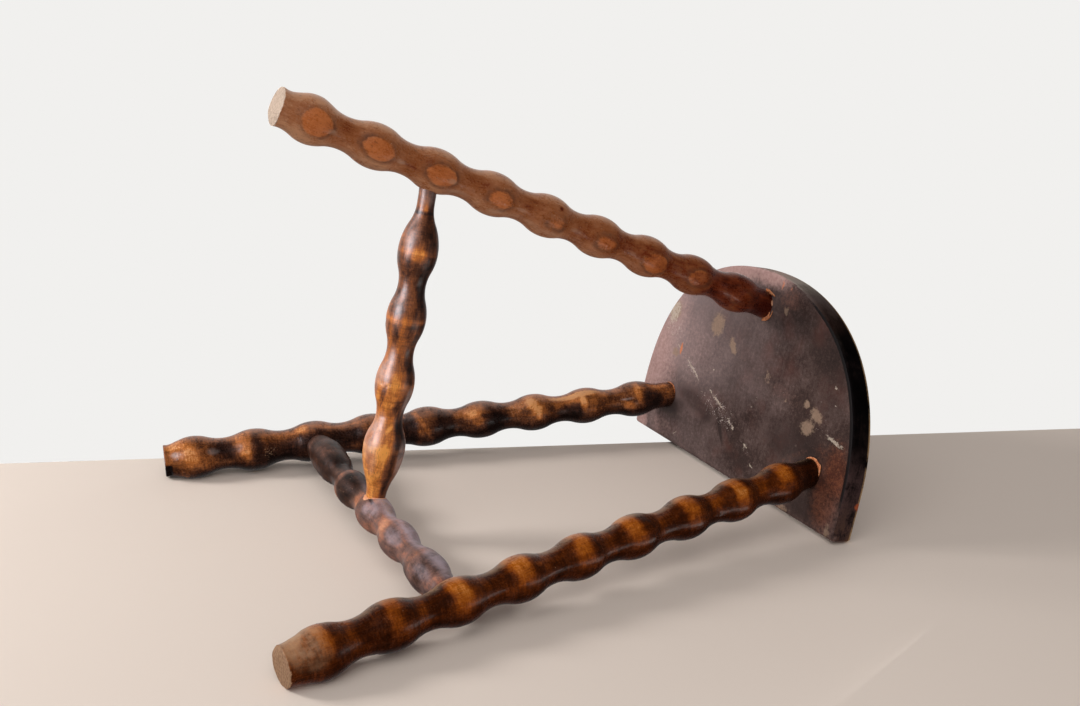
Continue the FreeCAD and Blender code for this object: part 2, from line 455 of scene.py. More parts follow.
def lathe(outline, start, end, step, sides, sole):
    """A turned piece along Z from start to end, in millimetres, closed by a flat sole if it has one."""
    bm = bmesh.new()
    chain = []
    if sole:
        core = radius_at(outline, start) - ROUNDING
        chain = [(core * ring / SOLE_RINGS, start) for ring in range(SOLE_RINGS + 1)]
        for turn in (0.5, 1.0):
            rise = ROUNDING * (1 - math.cos(turn))
            chain.append((core + ROUNDING * math.sin(turn), start + rise))
        start += ROUNDING
    count = round((end - start) / step)
    places = [start + (end - start) * index / count for index in range(count + 1)]
    chain += [(radius_at(outline, place), place) for place in places]
    row = [bm.verts.new((radius, 0, place)) for radius, place in chain]
    edges = [bm.edges.new(pair) for pair in zip(row, row[1:])]
    bmesh.ops.spin(
        bm, geom=row + edges, cent=(0, 0, 0), axis=(0, 0, 1), angle=math.tau, steps=sides, use_merge=True
    )
    bmesh.ops.remove_doubles(bm, verts=bm.verts, dist=1e-5)
    bmesh.ops.recalc_face_normals(bm, faces=bm.faces)
    return bm


FACING = {
    "leg_front": Vector((1.0, 0.0, 0.0)),
    "leg_rear_right": Vector((0.82, -0.572, -0.006)),
    "leg_rear_left": Vector((0.914, -0.341, -0.22)),
    "rail_cross": Vector((0.0, -0.682, -0.731)),
    "rail_centre": Vector((0.914, 0.004, -0.405)),
}


def piece_axes(name):
    """Turn of a piece: X to the side that faces the viewer, Z along its axis."""
    start, end = axes[name]
    z = (end - start).normalized()
    x = (FACING[name] - z * FACING[name].dot(z)).normalized()
    return Matrix((x, z.cross(x), z)).transposed()


def lay_on_axis(name):
    """Matrix that lays a piece from Z in millimetres onto its axis in metres."""
    return Matrix.Translation(axes[name][0] * MM) @ piece_axes(name).to_4x4() @ Matrix.Scale(MM, 4)


PAINTS = ("tone", "layer", "eye", "dust_and_sheen", "fleck", "raw", "end")
STILL_CORE = 1


def hand_turned(bm, shape, colouring, bow):
    """Press small faults into a turned piece, paint it by places along and round it, then bow it."""
    for name in PAINTS:
        bm.verts.layers.float.new(name)
    inside = bm.verts.layers.float_vector.new("grain_place")
    layers = {name: bm.verts.layers.float[name] for name in PAINTS}
    for vert in bm.verts:
        x, y, place = vert.co
        radius, angle = math.hypot(x, y), math.degrees(math.atan2(y, x))
        for name, value in colouring(place, angle, radius).items():
            vert[layers[name]] = value
        vert[inside] = vert.co * MM
        scale = 1 + shape(place, angle, radius) / radius if radius > STILL_CORE else 1.0
        vert.co = (x * scale, y * scale + bow(place), place)


def add_piece(name, bm, materials, replaced=None):
    """A finished mesh becomes a piece that rides on the stool."""
    mesh = bpy.data.meshes.new(name)
    for face in bm.faces:
        face.smooth = True
    bm.to_mesh(mesh)
    bm.free()
    for material in materials:
        mesh.materials.append(material)
    piece = bpy.data.objects.new(name, mesh)
    bpy.context.scene.collection.objects.link(piece)
    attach(piece, "root")
    if replaced:
        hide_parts(replaced)
    triangles = sum(len(face.vertices) - 2 for face in mesh.polygons)
    print(f"{name}: {triangles} triangles")


# %% [markdown]
# ## Grain of turned wood
# A turned stick shows its growth layers as it is cut: long fine lines on the bellies, ovals where a bead
# bulges through a layer. The patterns live in one shared group, read from the place of each point inside
# its own stick, so the grain stays with the piece. The group gives plain values only: fine fibre, long
# streaks, round mottling, rings round the stick, the layer figure, grit, crisp specks, open pores and
# orange peel.

# %% Grain group
grain = bpy.data.node_groups.new("turned_grain", "ShaderNodeTree")
grain.interface.new_socket("Place", in_out="INPUT", socket_type="NodeSocketVector")
grain.interface.new_socket("Layer", in_out="INPUT", socket_type="NodeSocketFloat")
for name in ("Fibre", "Streak", "Mottle", "Rings", "Grit", "Specks", "Figure", "Pores", "Peel"):
    grain.interface.new_socket(name, in_out="OUTPUT", socket_type="NodeSocketFloat")
group_in = grain.nodes.new("NodeGroupInput")
group_out = grain.nodes.new("NodeGroupOutput")
place = group_in.outputs["Place"]
long_grain = node(grain, "Mapping", {"Vector": place, "Scale": (1, 1, 0.07)}).outputs[0]
short_grain = node(grain, "Mapping", {"Vector": place, "Scale": (1, 1, 0.2)}).outputs[0]
round_grain = node(grain, "Mapping", {"Vector": place, "Scale": (0.16, 0.16, 1)}).outputs[0]
patterns = {
    "Fibre": (long_grain, 1500, 3),
    "Streak": (long_grain, 340, 3, 0.6),
    "Mottle": (place, 95, 5, 0.65),
    "Rings": (round_grain, 800, 3, 0.6),
    "Grit": (place, 700, 3, 0.65),
    "Specks": (place, 1100, 1),
    "Peel": (place, 420, 2),
}
for name, recipe in patterns.items():
    grain.links.new(speckle(grain, *recipe), group_out.inputs[name])
layers_seen = node(
    grain, "TexNoise", {"W": group_in.outputs["Layer"], "Scale": 0.75, "Detail": 3}, noise_dimensions="1D"
)
grain.links.new(layers_seen.outputs["Fac"], group_out.inputs["Figure"])
pore_noise = speckle(grain, short_grain, 1100, 1)
grain.links.new(fade(grain, pore_noise, 0.62, 0.72), group_out.inputs["Pores"])
print("grain group:", len(grain.nodes), "nodes")

# %% [markdown]
# ## Stained turned wood
# All turned pieces share one recipe. A painted tone from dark to light picks the stain from a ramp, and
# the grain breaks it up. Where a bead cuts through a growth layer an oval eye shows, and its edge is the
# zero line of the eye attribute. A paler colour lies over patches of dust and of painted sheen, which
# stands in for light reflected on the polish. Pale specks show where the finish flaked, and on the left
# leg a row of them is painted glints. Bare wood shows at breaks, and the sawn foot shows end grain.
# Roughness and bump follow the same noises.

# %% Turned wood recipe
def swing(tree, pattern, amount, start):
    """Add a noise to a value, as a swing of some amount about its middle."""
    return add_share(tree, calc(tree, "SUBTRACT", pattern, 0.5), amount, start)


def laid_over(tree, under, mask, amount, over):
    """A colour laid over another through a mask, at some strength."""
    return blend(tree, times(tree, mask, amount), under, over)


def with_eyes(tree, wood, tone, colour, stops):
    """Orange eyes with a dark halo, where the surface stands out past a growth layer."""
    depth = swing(tree, wood["Mottle"], 1.6, swing(tree, wood["Streak"], 1.2, attribute(tree, "eye")))
    depth = swing(tree, wood["Grit"], 0.6, depth)
    inside = fade(tree, depth, -0.4, 0.5)
    outside = calc(tree, "SUBTRACT", 0.75, inside)
    halo = times(tree, fade(tree, depth, -2.4, -0.3), outside, fade(tree, wood["Mottle"], 0.3, 0.7))
    colour = blend(tree, halo, colour, paint(78, 42, 28))
    eye_tone = swing(tree, wood["Grit"], 0.3, calc(tree, "ADD", tone, 0.2))
    eye_share = times(tree, inside, fade(tree, attribute(tree, "tone"), 0.16, 0.48))
    return laid_over(tree, colour, eye_share, 0.85, ramp(tree, eye_tone, stops))


def turned_wood(name, stops, weave, rough, shine, bumps, feet, dust_and_sheen_colour, eye=None):
    """Stained and polished wood for one turned piece, in its own colours."""
    material, tree, shader, _ = new_material(name)
    place = attribute(tree, "grain_place", "Vector")
    wood = node(tree, "Group", {"Place": place, "Layer": attribute(tree, "layer")}, node_tree=grain).outputs
    tone = attribute(tree, "tone")
    for pattern, amount in weave.items():
        tone = swing(tree, wood[pattern], amount, tone)
    colour = ramp(tree, tone, stops)

    if eye:
        colour = with_eyes(tree, wood, tone, colour, eye)

    colour = laid_over(tree, colour, wood["Pores"], 0.35, paint(30, 14, 8))
    # Dust, and painted sheen that stands in for light reflected on the polish.
    dust_and_sheen = times(tree, attribute(tree, "dust_and_sheen"), fade(tree, wood["Mottle"], 0.2, 0.7))
    colour = blend(tree, dust_and_sheen, colour, dust_and_sheen_colour)
    # Pale flecks, and in places painted glints of light on the polish.
    flecks_and_glints = swing(tree, wood["Grit"], 0.5, wood["Specks"])
    flecks_and_glints = add_share(tree, attribute(tree, "fleck"), 0.3, flecks_and_glints)
    flecks_and_glints = fade(tree, flecks_and_glints, 0.84, 0.92)
    colour = laid_over(tree, colour, flecks_and_glints, 0.75, paint(196, 158, 126))

    end_spots = speckle(tree, place, 520, 4)
    end_colour = blend(tree, fade(tree, end_spots, 0.3, 0.65), *feet)
    cut_end = fade(tree, swing(tree, end_spots, 0.7, attribute(tree, "end")), 0.4, 0.6)
    colour = blend(tree, cut_end, colour, end_colour)

    bare = fade(tree, swing(tree, wood["Streak"], 1.0, attribute(tree, "raw")), 0.4, 0.7)
    bare_wood = blend(tree, wood["Fibre"], paint(206, 122, 72), paint(236, 188, 154))
    colour = blend(tree, bare, colour, bare_wood)

    dull = swing(tree, wood["Grit"], 0.2, swing(tree, wood["Mottle"], 0.3, rough))
    dull = add_share(tree, dust_and_sheen, 0.2, dull)
    dull = add_share(tree, calc(tree, "MAXIMUM", bare, cut_end), 0.4, dull)
    height = add_share(tree, wood["Peel"], bumps, times(tree, wood["Fibre"], 0.3))
    height = add_share(tree, wood["Rings"], 0.3, height)
    height = add_share(tree, wood["Pores"], -0.4, height)
    feed(tree, shader, {
        "Base Color": colour, "Roughness": dull, "Normal": bumpy(tree, height, 0.35, 0.0004),
        "IOR": 1.5, "Specular IOR Level": shine,
    })
    return material


# %% Five turned woods
front_leg_wood = turned_wood(
    "front_leg_wood",
    [
        (0.0, 58, 12, 2), (0.25, 104, 40, 13), (0.5, 138, 77, 40), (0.75, 162, 102, 66),
        (1.0, 190, 136, 100),
    ],
    {"Streak": 0.45, "Mottle": 0.7, "Fibre": 0.3, "Figure": 0.15, "Grit": 0.3},
    rough=0.3, shine=0.3, bumps=0.3,
    feet=(paint(168, 142, 122), paint(196, 172, 150)), dust_and_sheen_colour=paint(176, 138, 112),
    eye=[(0.2, 82, 34, 12), (0.45, 122, 58, 24), (0.65, 162, 84, 36), (0.95, 188, 106, 54)],
)
right_leg_wood = turned_wood(
    "rear_right_leg_wood",
    [
        (0.0, 24, 7, 1), (0.25, 54, 20, 3), (0.45, 86, 37, 6), (0.65, 130, 62, 11), (0.85, 168, 90, 24),
        (1.0, 196, 124, 60),
    ],
    {"Streak": 0.35, "Mottle": 0.55, "Fibre": 0.3, "Rings": 0.45, "Grit": 0.3},
    rough=0.26, shine=0.13, bumps=0.6,
    feet=(paint(132, 98, 72), paint(170, 130, 98)), dust_and_sheen_colour=paint(172, 138, 106),
)
left_leg_wood = turned_wood(
    "rear_left_leg_wood",
    [
        (0.0, 22, 11, 8), (0.25, 50, 26, 17), (0.45, 86, 47, 25), (0.65, 140, 80, 38),
        (0.85, 186, 109, 50), (1.0, 218, 150, 90),
    ],
    {"Streak": 0.4, "Mottle": 0.8, "Fibre": 0.3, "Rings": 0.4, "Grit": 0.45},
    rough=0.28, shine=0.25, bumps=1.1,
    feet=(paint(96, 64, 44), paint(150, 110, 82)), dust_and_sheen_colour=paint(168, 152, 146),
)
cross_rail_wood = turned_wood(
    "cross_rail_wood",
    [
        (0.0, 30, 16, 10), (0.3, 66, 41, 30), (0.55, 112, 74, 58), (0.75, 160, 98, 66),
        (1.0, 206, 140, 100),
    ],
    {"Streak": 0.5, "Mottle": 0.9, "Fibre": 0.3, "Grit": 0.45},
    rough=0.4, shine=0.13, bumps=0.6,
    feet=(paint(134, 98, 70), paint(176, 138, 108)), dust_and_sheen_colour=paint(170, 154, 160),
)
centre_rail_wood = turned_wood(
    "centre_rail_wood",
    [
        (0.0, 26, 11, 6), (0.25, 76, 40, 22), (0.5, 142, 80, 42), (0.75, 202, 114, 44),
        (1.0, 250, 166, 76),
    ],
    {"Streak": 0.65, "Mottle": 0.8, "Fibre": 0.35, "Rings": 0.4, "Grit": 0.25},
    rough=0.35, shine=0.5, bumps=0.4,
    feet=(paint(134, 98, 70), paint(176, 138, 108)), dust_and_sheen_colour=paint(196, 172, 164),
)
print("five turned woods")

# %% [markdown]
# ## Faults that every turned piece has
# Nothing old is perfectly round. A slow noise makes the radius wander by a tenth or two of a millimetre,
# and a few seeded dents lie on the bellies. Both are in the mesh, so they show on the outline too. Marks
# of the stain, and the painted light and shade, are patches, each given by its place along the piece,
# its turn round it, its two half sizes and its strength. A last number slants a patch: how far it moves
# along for each degree round.

# %% Wander, dents and patches
def soft_step(value, low, high):
    """Smooth step from 0 at low to 1 at high."""
    share = min(max((value - low) / (high - low), 0.0), 1.0)
    return share * share * (3 - 2 * share)


def around(angle, middle):
    """Signed turn in degrees from a middle angle."""
    return (angle - middle + 180) % 360 - 180


def hump(value, rise, fall):
    """1 between two smooth steps: up over the first span, down again over the second."""
    return soft_step(value, *rise) * (1 - soft_step(value, *fall))


def between(table, place):
    """Straight-line value at a place from a table of (place, value)."""
    if place <= table[0][0]:
        return table[0][1]
    for (start, low), (end, high) in zip(table, table[1:]):
        if place < end:
            return low + (high - low) * (place - start) / (end - start)
    return table[-1][1]


def cloud(seed, place, angle, long, wide):
    """Slow noise round a piece, from -1 to 1, that closes on itself."""
    turn = math.radians(angle)
    return noise.noise((math.cos(turn) * wide + seed, math.sin(turn) * wide, place / long))


END_MARGIN, DENT_WIDTHS, DENT_DEPTHS = 15, (1.2, 3.2), (0.15, 0.5)


def dents(seed, length, count):
    """Seeded dents as (place, angle, width, depth)."""
    dice = random.Random(seed)
    spans = ((END_MARGIN, length - END_MARGIN), (-180, 180), DENT_WIDTHS, DENT_DEPTHS)
    return [tuple(dice.uniform(*span) for span in spans) for _ in range(count)]


def dent_depth(marks, place, angle, radius):
    """Depth of the dents at one spot."""
    depth = 0.0
    for mark_place, mark_angle, width, deep in marks:
        if abs(place - mark_place) < 2 * width:
            side = math.radians(around(angle, mark_angle)) * radius
            depth += deep * math.exp(-((place - mark_place) ** 2 + side ** 2) / (width * width * 0.5))
    return depth


def faults(seed, marks, amount, place, angle, radius):
    """Change of the radius at one spot: a slow wander, less the depth of the dents."""
    return amount * cloud(seed, place, angle, 34, 0.9) - dent_depth(marks, place, angle, radius)


def broken_rim(seed, depth, reach, place, angle):
    """Loss of radius at the ragged rim of a foot."""
    rim = 1 - soft_step(place, 0.5, reach)
    return rim * max(0.0, depth * cloud(seed, place * 5, angle, 10, 3.0))


def patches(marks, place, angle):
    """Sum of the patches at one spot."""
    total = 0.0
    for middle, turn, long, wide, strength, *slant in marks:
        side = around(angle, turn)
        if abs(side) < 1.3 * wide:
            forward = place - middle - (slant[0] * side if slant else 0.0)
            total += strength * (1 - soft_step(math.hypot(forward / long, side / wide), 0.5, 1.3))
    return total


def layer_place(place, angle, radius, turn, slant):
    """Place of a spot across the growth layers of its stick, in millimetres."""
    return radius * math.cos(math.radians(angle - turn)) + place * slant


# %% [markdown]
# ## The front leg
# This leg is the lightest of the three. On every crest that faces the viewer the turner's gouge broke
# through one growth layer, which left a row of orange eyes. A flat layer inside the stick gives them the
# right shape: the eye is where the surface stands further out than the layer. The layer wanders along the
# leg, so the eyes grow, shrink and drift. Its angle and depth are two short tables. Both flanks are painted
# lighter, as painted light: a pale reflection along the top and light from the floor underneath, with
# painted highlights beside the eyes. Towards the seat the wood darkens to nearly black, partly dark stain
# and partly painted shade next to the seat, and the painted light fades there.

# %% Front leg
EYE_ANGLE = [
    (21, 0), (70, 3), (120, 6), (171, 7), (221, 10), (268, 8), (318, 11), (350, 8), (365, -4), (399, 4),
]
EYE_DEPTH = [
    (0, 15.9), (8, 14.2), (21, 12.9), (35, 13.9), (46, 14.4), (59, 13.2), (70, 13.9), (82, 14.5),
    (96, 14.3), (109, 13.7), (120, 14.2), (132, 14.1), (147, 14.7), (162, 14.8), (171, 14.7),
    (180, 14.2), (200, 15.8), (217, 15.6), (221, 15.4), (225, 14.9), (245, 15.1), (260, 15.1),
    (268, 15.1), (276, 14.3), (290, 14.5), (305, 14.5), (318, 13.5), (332, 12.7), (338, 12.8),
    (344, 13.2), (356, 14.4), (368, 15.4), (380, 15.2), (392, 12.9), (399, 13.0), (407, 15.3),
    (420, 15.9),
]
# Darker towards the seat: partly stain, partly painted shade next to the seat.
FRONT_TONE = [
    (0, 0.78), (40, 0.66), (110, 0.61), (200, 0.585), (280, 0.5), (330, 0.41), (370, 0.31), (405, 0.2),
    (440, 0.1),
]
FRONT_PATCHES = [
    (220, -35, 1.8, 7, -0.5), (12, 20, 10, 40, 0.08), (325, 18, 8, 20, -0.1), (46, -30, 8, 20, -0.1),
    (98, 30, 8, 20, -0.12), (150, -20, 9, 24, -0.1), (198, -15, 8, 24, -0.12), (244, 25, 9, 26, -0.12),
]
# Painted highlights: pale smears of reflected light beside the eyes and along the underside.
FRONT_SHEEN = [
    (37, 8, 4, 8, 0.5), (90, 15, 4, 9, 0.55), (130, 10, 4, 8, 0.5), (138, 42, 12, 10, 0.5),
    (190, 15, 5, 7, 0.5), (170, 45, 5, 10, 0.45), (240, 10, 6, 8, 0.35), (292, 9, 6, 8, 0.3),
    (60, 60, 30, 16, 0.25), (205, 48, 24, 12, 0.3),
]
FRONT_RAW = [(443, -20, 3, 20, 0.6)]
FRONT_FULL = [(22, 0, 14, 170, 0.6), (20, -90, 12, 50, 0.6)]
PITCH = (lengths["leg_front"] - LAST_BEAD - FIRST_BEAD) / (LEG_BEADS - 1)
CUT_RIM = 0.3
LEG_STEP, LEG_SIDES, INTO_SEAT = 1.0, 132, 3.0


def bead_wave(place, first, pitch, shift=0.0):
    """1 on a crest and -1 in a neck, moved along by a share of the pitch."""
    return math.cos(math.tau * ((place - first) / pitch - shift))


def foot_end(place, reach, amount):
    """1 on the sawn end of a foot, fading along the first millimetres of its side."""
    return 1.0 if place < CUT_RIM else amount * (1 - soft_step(place, CUT_RIM, reach))


def straight(_):
    """No bow at all."""
    return 0.0


front_marks = dents(11, lengths["leg_front"], 26)


def front_shape(place, angle, radius):
    """Change of the front leg's radius: faults, a fuller first bead and a ragged rim."""
    change = faults(3.1, front_marks, 0.25, place, angle, radius) + patches(FRONT_FULL, place, angle)
    return change - broken_rim(7.3, 0.7, 3.0, place, angle)


def front_colours(place, angle, radius):
    """Paint of the front leg at one spot: painted light on both flanks, darker towards the seat, partly
    stain and partly painted shade.
    """
    # Painted light: the top lighter as a pale reflection, the underside lighter as light from the floor.
    # worn is 1 away from the seat and 0 next to it, where the painted light fades.
    worn = 1 - soft_step(place, 300, 400)
    lit_top = hump(-angle, (30, 60), (85, 130))
    lit_underside = hump(angle, (10, 50), (85, 130))
    tone = between(FRONT_TONE, place) + 0.05 * bead_wave(place, FIRST_BEAD, PITCH) - 0.03
    tone += (0.34 * lit_top + 0.22 * lit_underside) * worn
    tone += patches(FRONT_PATCHES, place, angle) + 0.1 * cloud(1.2, place, angle, 30, 1.4)
    turn = math.radians(around(angle, between(EYE_ANGLE, place)))
    return {
        "tone": tone,
        "layer": layer_place(place, angle, radius, 5, 0.012),
        "eye": radius * math.cos(turn) - between(EYE_DEPTH, place),
        "dust_and_sheen": patches(FRONT_SHEEN, place, angle),
        "fleck": 0.3 * worn,
        "raw": patches(FRONT_RAW, place, angle),
        "end": foot_end(place, 3.0, 0.45),
    }


# %% Turning a leg
def make_leg(node_name, shape, colouring, bow, material, start=0.0):
    """Turn one leg, dress it, lay it on its axis and wear its foot level with the floor."""
    end = lengths[node_name] + INTO_SEAT
    bm = lathe(outlines[node_name], start, end, LEG_STEP, LEG_SIDES, sole=True)
    hand_turned(bm, shape, colouring, bow)
    bmesh.ops.transform(bm, matrix=lay_on_axis(node_name), verts=bm.verts)
    everything = bm.verts[:] + bm.edges[:] + bm.faces[:]
    cut = bmesh.ops.bisect_plane(
        bm, geom=everything, plane_co=(0, 0, 0), plane_no=(0, 0, -1), clear_outer=True
    )["geom_cut"]
    rim = [edge for edge in cut if isinstance(edge, bmesh.types.BMEdge)]
    bmesh.ops.holes_fill(bm, edges=rim, sides=0)
    cut_end = bm.verts.layers.float["end"]
    for edge in rim:
        edge.smooth = False
        for vert in edge.verts:
            vert[cut_end] = 1.0
    add_piece(node_name + "_turned", bm, [material], node_name)


make_leg("leg_front", front_shape, front_colours, straight, front_leg_wood)

# %% [markdown]
# ## The rear legs
# The rear legs are darker. Handling has rubbed the stain thin on the upper bellies, so amber shows there,
# and the hollows stay nearly black. The upper side is painted lighter, as painted light from above, and
# the lower side nearly black, as painted shade. On the right leg the amber lies in bands round the stick,
# a broad one on each crest and thin ones beside it. On the left leg it breaks into slanting wedges between
# dark clouds. Both were turned a little thicker towards the foot. The right leg has warped, and the left
# foot has lost a corner.

# %% Right rear leg
right_marks = dents(23, lengths["leg_rear_right"], 30)
RIGHT_BANDS = [
    (24, 5, 0.3), (43, 4, 0.14), (73, 6, 0.34), (92, 4, 0.16), (120, 8, 0.5), (140, 3, 0.16),
    (168, 8, 0.48), (188, 4, 0.14), (217, 7, 0.46), (240, 4, 0.15), (263, 7, 0.48), (288, 4, 0.17),
    (315, 7, 0.42), (340, 6, 0.22), (363, 6, 0.5), (388, 6, 0.2), (411, 8, 0.44),
]
RIGHT_TONE = [(0, 0.46), (16, 0.4), (30, 0.31), (60, 0.28), (410, 0.28), (425, 0.16), (440, 0.05)]
RIGHT_PATCHES = [
    (12, -30, 14, 50, 0.18), (181, -20, 3, 8, 0.2), (58, 0, 10, 80, -0.06), (104, 0, 9, 80, -0.06),
]
# Dust on the foot, and along the top edge a painted reflection of pale light.
RIGHT_DUST_AND_SHEEN = [(10, -45, 16, 48, 0.7), (14, 5, 12, 30, 0.35), (230, -82, 260, 30, 0.5)]
RIGHT_THICK = [(2, 0.0), (10, 1.3), (40, 1.3), (75, 0.5), (110, 0.0)]


def right_shape(place, angle, radius):
    """Change of the right leg's radius: faults, a thicker foot and a ragged rim."""
    change = faults(5.7, right_marks, 0.3, place, angle, radius) + between(RIGHT_THICK, place)
    return change - broken_rim(2.1, 1.1, 3.5, place, angle)


def right_colours(place, angle, radius):
    """Paint of the right leg at one spot: amber bands and painted light on its upper side, painted shade
    below.
    """
    # Painted light on the upper side (lit), where the amber bands also lie, and painted shade below
    # (under).
    side = around(angle, -30)
    lit = 1 - soft_step(side, 15, 85) if side > 0 else 1 - soft_step(-side, 80, 150)
    under = hump(around(angle, 90), (-70, -30), (40, 90))
    moved = place + 3.0 * cloud(4.7, place, angle, 60, 1.2)
    bands = max(
        strong * (1 - soft_step(abs(moved - middle) / half, 0.4, 1.4))
        for middle, half, strong in RIGHT_BANDS
    )
    tone = between(RIGHT_TONE, place) + (0.04 + bands) * lit - 0.1 * under
    tone += patches(RIGHT_PATCHES, place, angle) + 0.12 * cloud(9.0, place, angle, 20, 1.3)
    return {
        "tone": tone,
        "layer": layer_place(place, angle, radius, -30, 0.02),
        "dust_and_sheen": patches(RIGHT_DUST_AND_SHEEN, place, angle),
        "fleck": 0.15 * lit,
        "end": foot_end(place, 2.5, 0.45),
    }


def right_bow(place):
    """The leg has warped upwards towards the seat, and its foot hangs a little."""
    return 1.2 * (1 - soft_step(place, 0, 70)) - 1.3 * soft_step(place, 110, 330)


make_leg("leg_rear_right", right_shape, right_colours, right_bow, right_leg_wood)

# %% Left rear leg
left_marks = dents(37, lengths["leg_rear_left"], 30)
LEFT_PATCHES = [
    (22, -5, 7, 35, 0.2), (12, -50, 10, 25, 0.2), (15, 20, 16, 60, 0.2), (40, 30, 14, 40, 0.1),
    (50, -8, 13, 40, -0.22), (64, -22, 9, 50, 0.16), (66, 12, 5, 24, 0.12), (75, 0, 6, 50, -0.15),
    (95, 20, 20, 40, -0.25), (100, -45, 14, 16, 0.12), (113, -50, 6, 20, 0.25),
    (140, -48, 24, 12, 0.12), (140, 0, 30, 34, -0.3), (203, 10, 6, 80, -0.3),
    (214, -10, 2.5, 60, 0.14, 0.12), (232, 20, 11, 70, -0.25), (256, -35, 13, 30, 0.25),
    (262, 0, 6, 30, 0.2, 0.1), (281, 15, 12, 36, -0.32), (300, -35, 10, 14, 0.15),
    (315, -20, 6, 36, 0.3, 0.08), (318, 15, 3, 14, 0.2), (328, 10, 6, 40, -0.15),
    (352, -46, 24, 14, 0.35), (349, 18, 14, 34, -0.3), (361, -5, 3.5, 34, 0.32),
    (375, -40, 12, 16, 0.2), (405, 25, 7, 20, 0.2), (414, -20, 3.5, 50, 0.2), (428, 15, 10, 50, -0.3),
    (436, -48, 12, 14, 0.3), (335, -30, 40, 60, 0.13), (262, 5, 36, 80, -0.08),
]
# Along the top a painted reflection of pale light, and a few small pale marks.
LEFT_DUST_AND_SHEEN = [
    (250, -60, 240, 32, 0.24), (403, -3, 6, 4, 0.7), (40, -10, 5, 12, 0.35), (11, -15, 4, 10, 0.6),
    (305, -28, 6, 12, 0.2),
]
# Pale flecks, and along the top at -40 degrees a row of painted glints of light.
LEFT_FLECKS_AND_GLINTS = [(85, 16, 8, 22, 0.55), (300, -20, 12, 22, 0.5), (340, -40, 50, 8, 0.5)]
LEFT_RAW = [(15, 58, 5, 22, 0.42)]
LEFT_THICK = [(30, 1.6), (100, 1.3), (230, 1.3), (270, 0.3), (440, 0.0)]
LOST_TURN, LOST_DEPTH = 50, 2.8


def lost_corner(place, angle, grown):
    """1 where the left foot has lost a corner, or a little outside it."""
    turn = 1 - soft_step(abs(around(angle, LOST_TURN)), 20 + grown, 26 + grown)
    return turn * (1 - soft_step(place, 5.5 + grown / 8, 6.8 + grown / 6))


def left_shape(place, angle, radius):
    """Change of the left leg's radius: faults, a thicker foot, a ragged rim and the lost corner."""
    change = faults(8.3, left_marks, 0.3, place, angle, radius)
    change += between(LEFT_THICK, place) * soft_step(place, 4, 14)
    change -= broken_rim(4.4, 1.3, 3.5, place, angle)
    return change - LOST_DEPTH * lost_corner(place, angle, 0)


def left_colours(place, angle, radius):
    """Paint of the left leg at one spot: amber wedges between dark clouds, painted light on top, painted
    shade below.
    """
    # Painted light on the top, and painted shade on the underside (under).
    lit_top = 0.5 + 0.5 * math.cos(math.radians(around(angle, -50)))
    under = hump(around(angle, 90), (-75, -35), (40, 90))
    tone = 0.22 + 0.34 * lit_top - 0.2 * under + 1.2 * patches(LEFT_PATCHES, place, angle)
    tone += 0.12 * cloud(3.0, place, angle, 16, 1.6)
    lost = lost_corner(place, angle, 6)
    return {
        "tone": tone - 0.7 * lost,
        "layer": layer_place(place, angle, radius, -20, 0.018),
        "dust_and_sheen": patches(LEFT_DUST_AND_SHEEN, place, angle),
        "fleck": 0.15 + patches(LEFT_FLECKS_AND_GLINTS, place, angle),
        "raw": patches(LEFT_RAW, place, angle) * (1 - lost),
        "end": foot_end(place, 2.5, 0.45) * (1 - lost),
    }


make_leg("leg_rear_left", left_shape, left_colours, straight, left_leg_wood, start=2.0)

# %% [markdown]
# ## The rails
# The centre rail is the best polished piece: bright amber on the side that faces the viewer, nearly black
# behind, partly dark stain and partly painted shade on the side away from the light, with painted
# highlights on its bead flanks. Thin rings from the turning tool run round its crests, and two cracks run
# along one bead. The cross rail sat under the feet of many sitters, so it is grey with dust, rusty where
# it was rubbed, and its middle bead has split at the hole. It is painted darker towards the left leg,
# partly as painted shadow, and its pale lavender patches are painted sheen.

# %% Centre rail
FIRST_RING, LAST_RING = 57.8, 51.5
CENTRE_PITCH = (centre_length - FIRST_RING - LAST_RING) / 3
centre_marks = dents(41, centre_length, 14)
CENTRE_TONE = [
    (0, 0.36), (26, 0.34), (36, 0.45), (50, 0.49), (66, 0.39), (84, 0.4), (108, 0.49), (130, 0.55),
    (155, 0.66), (180, 0.72), (205, 0.82), (225, 0.85), (250, 0.84),
]
# Stain marks, with painted shade: the dark patches at -26 to -55 degrees darken the flanks away from the
# light.
CENTRE_PATCHES = [
    (30.5, 0, 1.2, 100, -0.3), (27, -10, 4, 14, 0.2), (59, 0, 6, 34, 0.18), (72, 0, 8, 45, -0.14),
    (118, 27, 7, 14, -0.35), (108, 0, 2.2, 90, 0.14), (147, -8, 3, 60, 0.1), (155, -6, 6, 30, 0.08),
    (170, -8, 2, 12, 0.2, 0.15), (188, -8, 2.4, 14, 0.25, 0.15), (205, 2, 7, 16, 0.26),
    (224, -26, 20, 18, -0.4), (217, 35, 9, 22, -0.15), (192, -52, 18, 26, -0.3),
    (171, -20, 6, 14, -0.35), (171, 12, 6, 14, 0.2), (147, -55, 8, 20, -0.2),
]
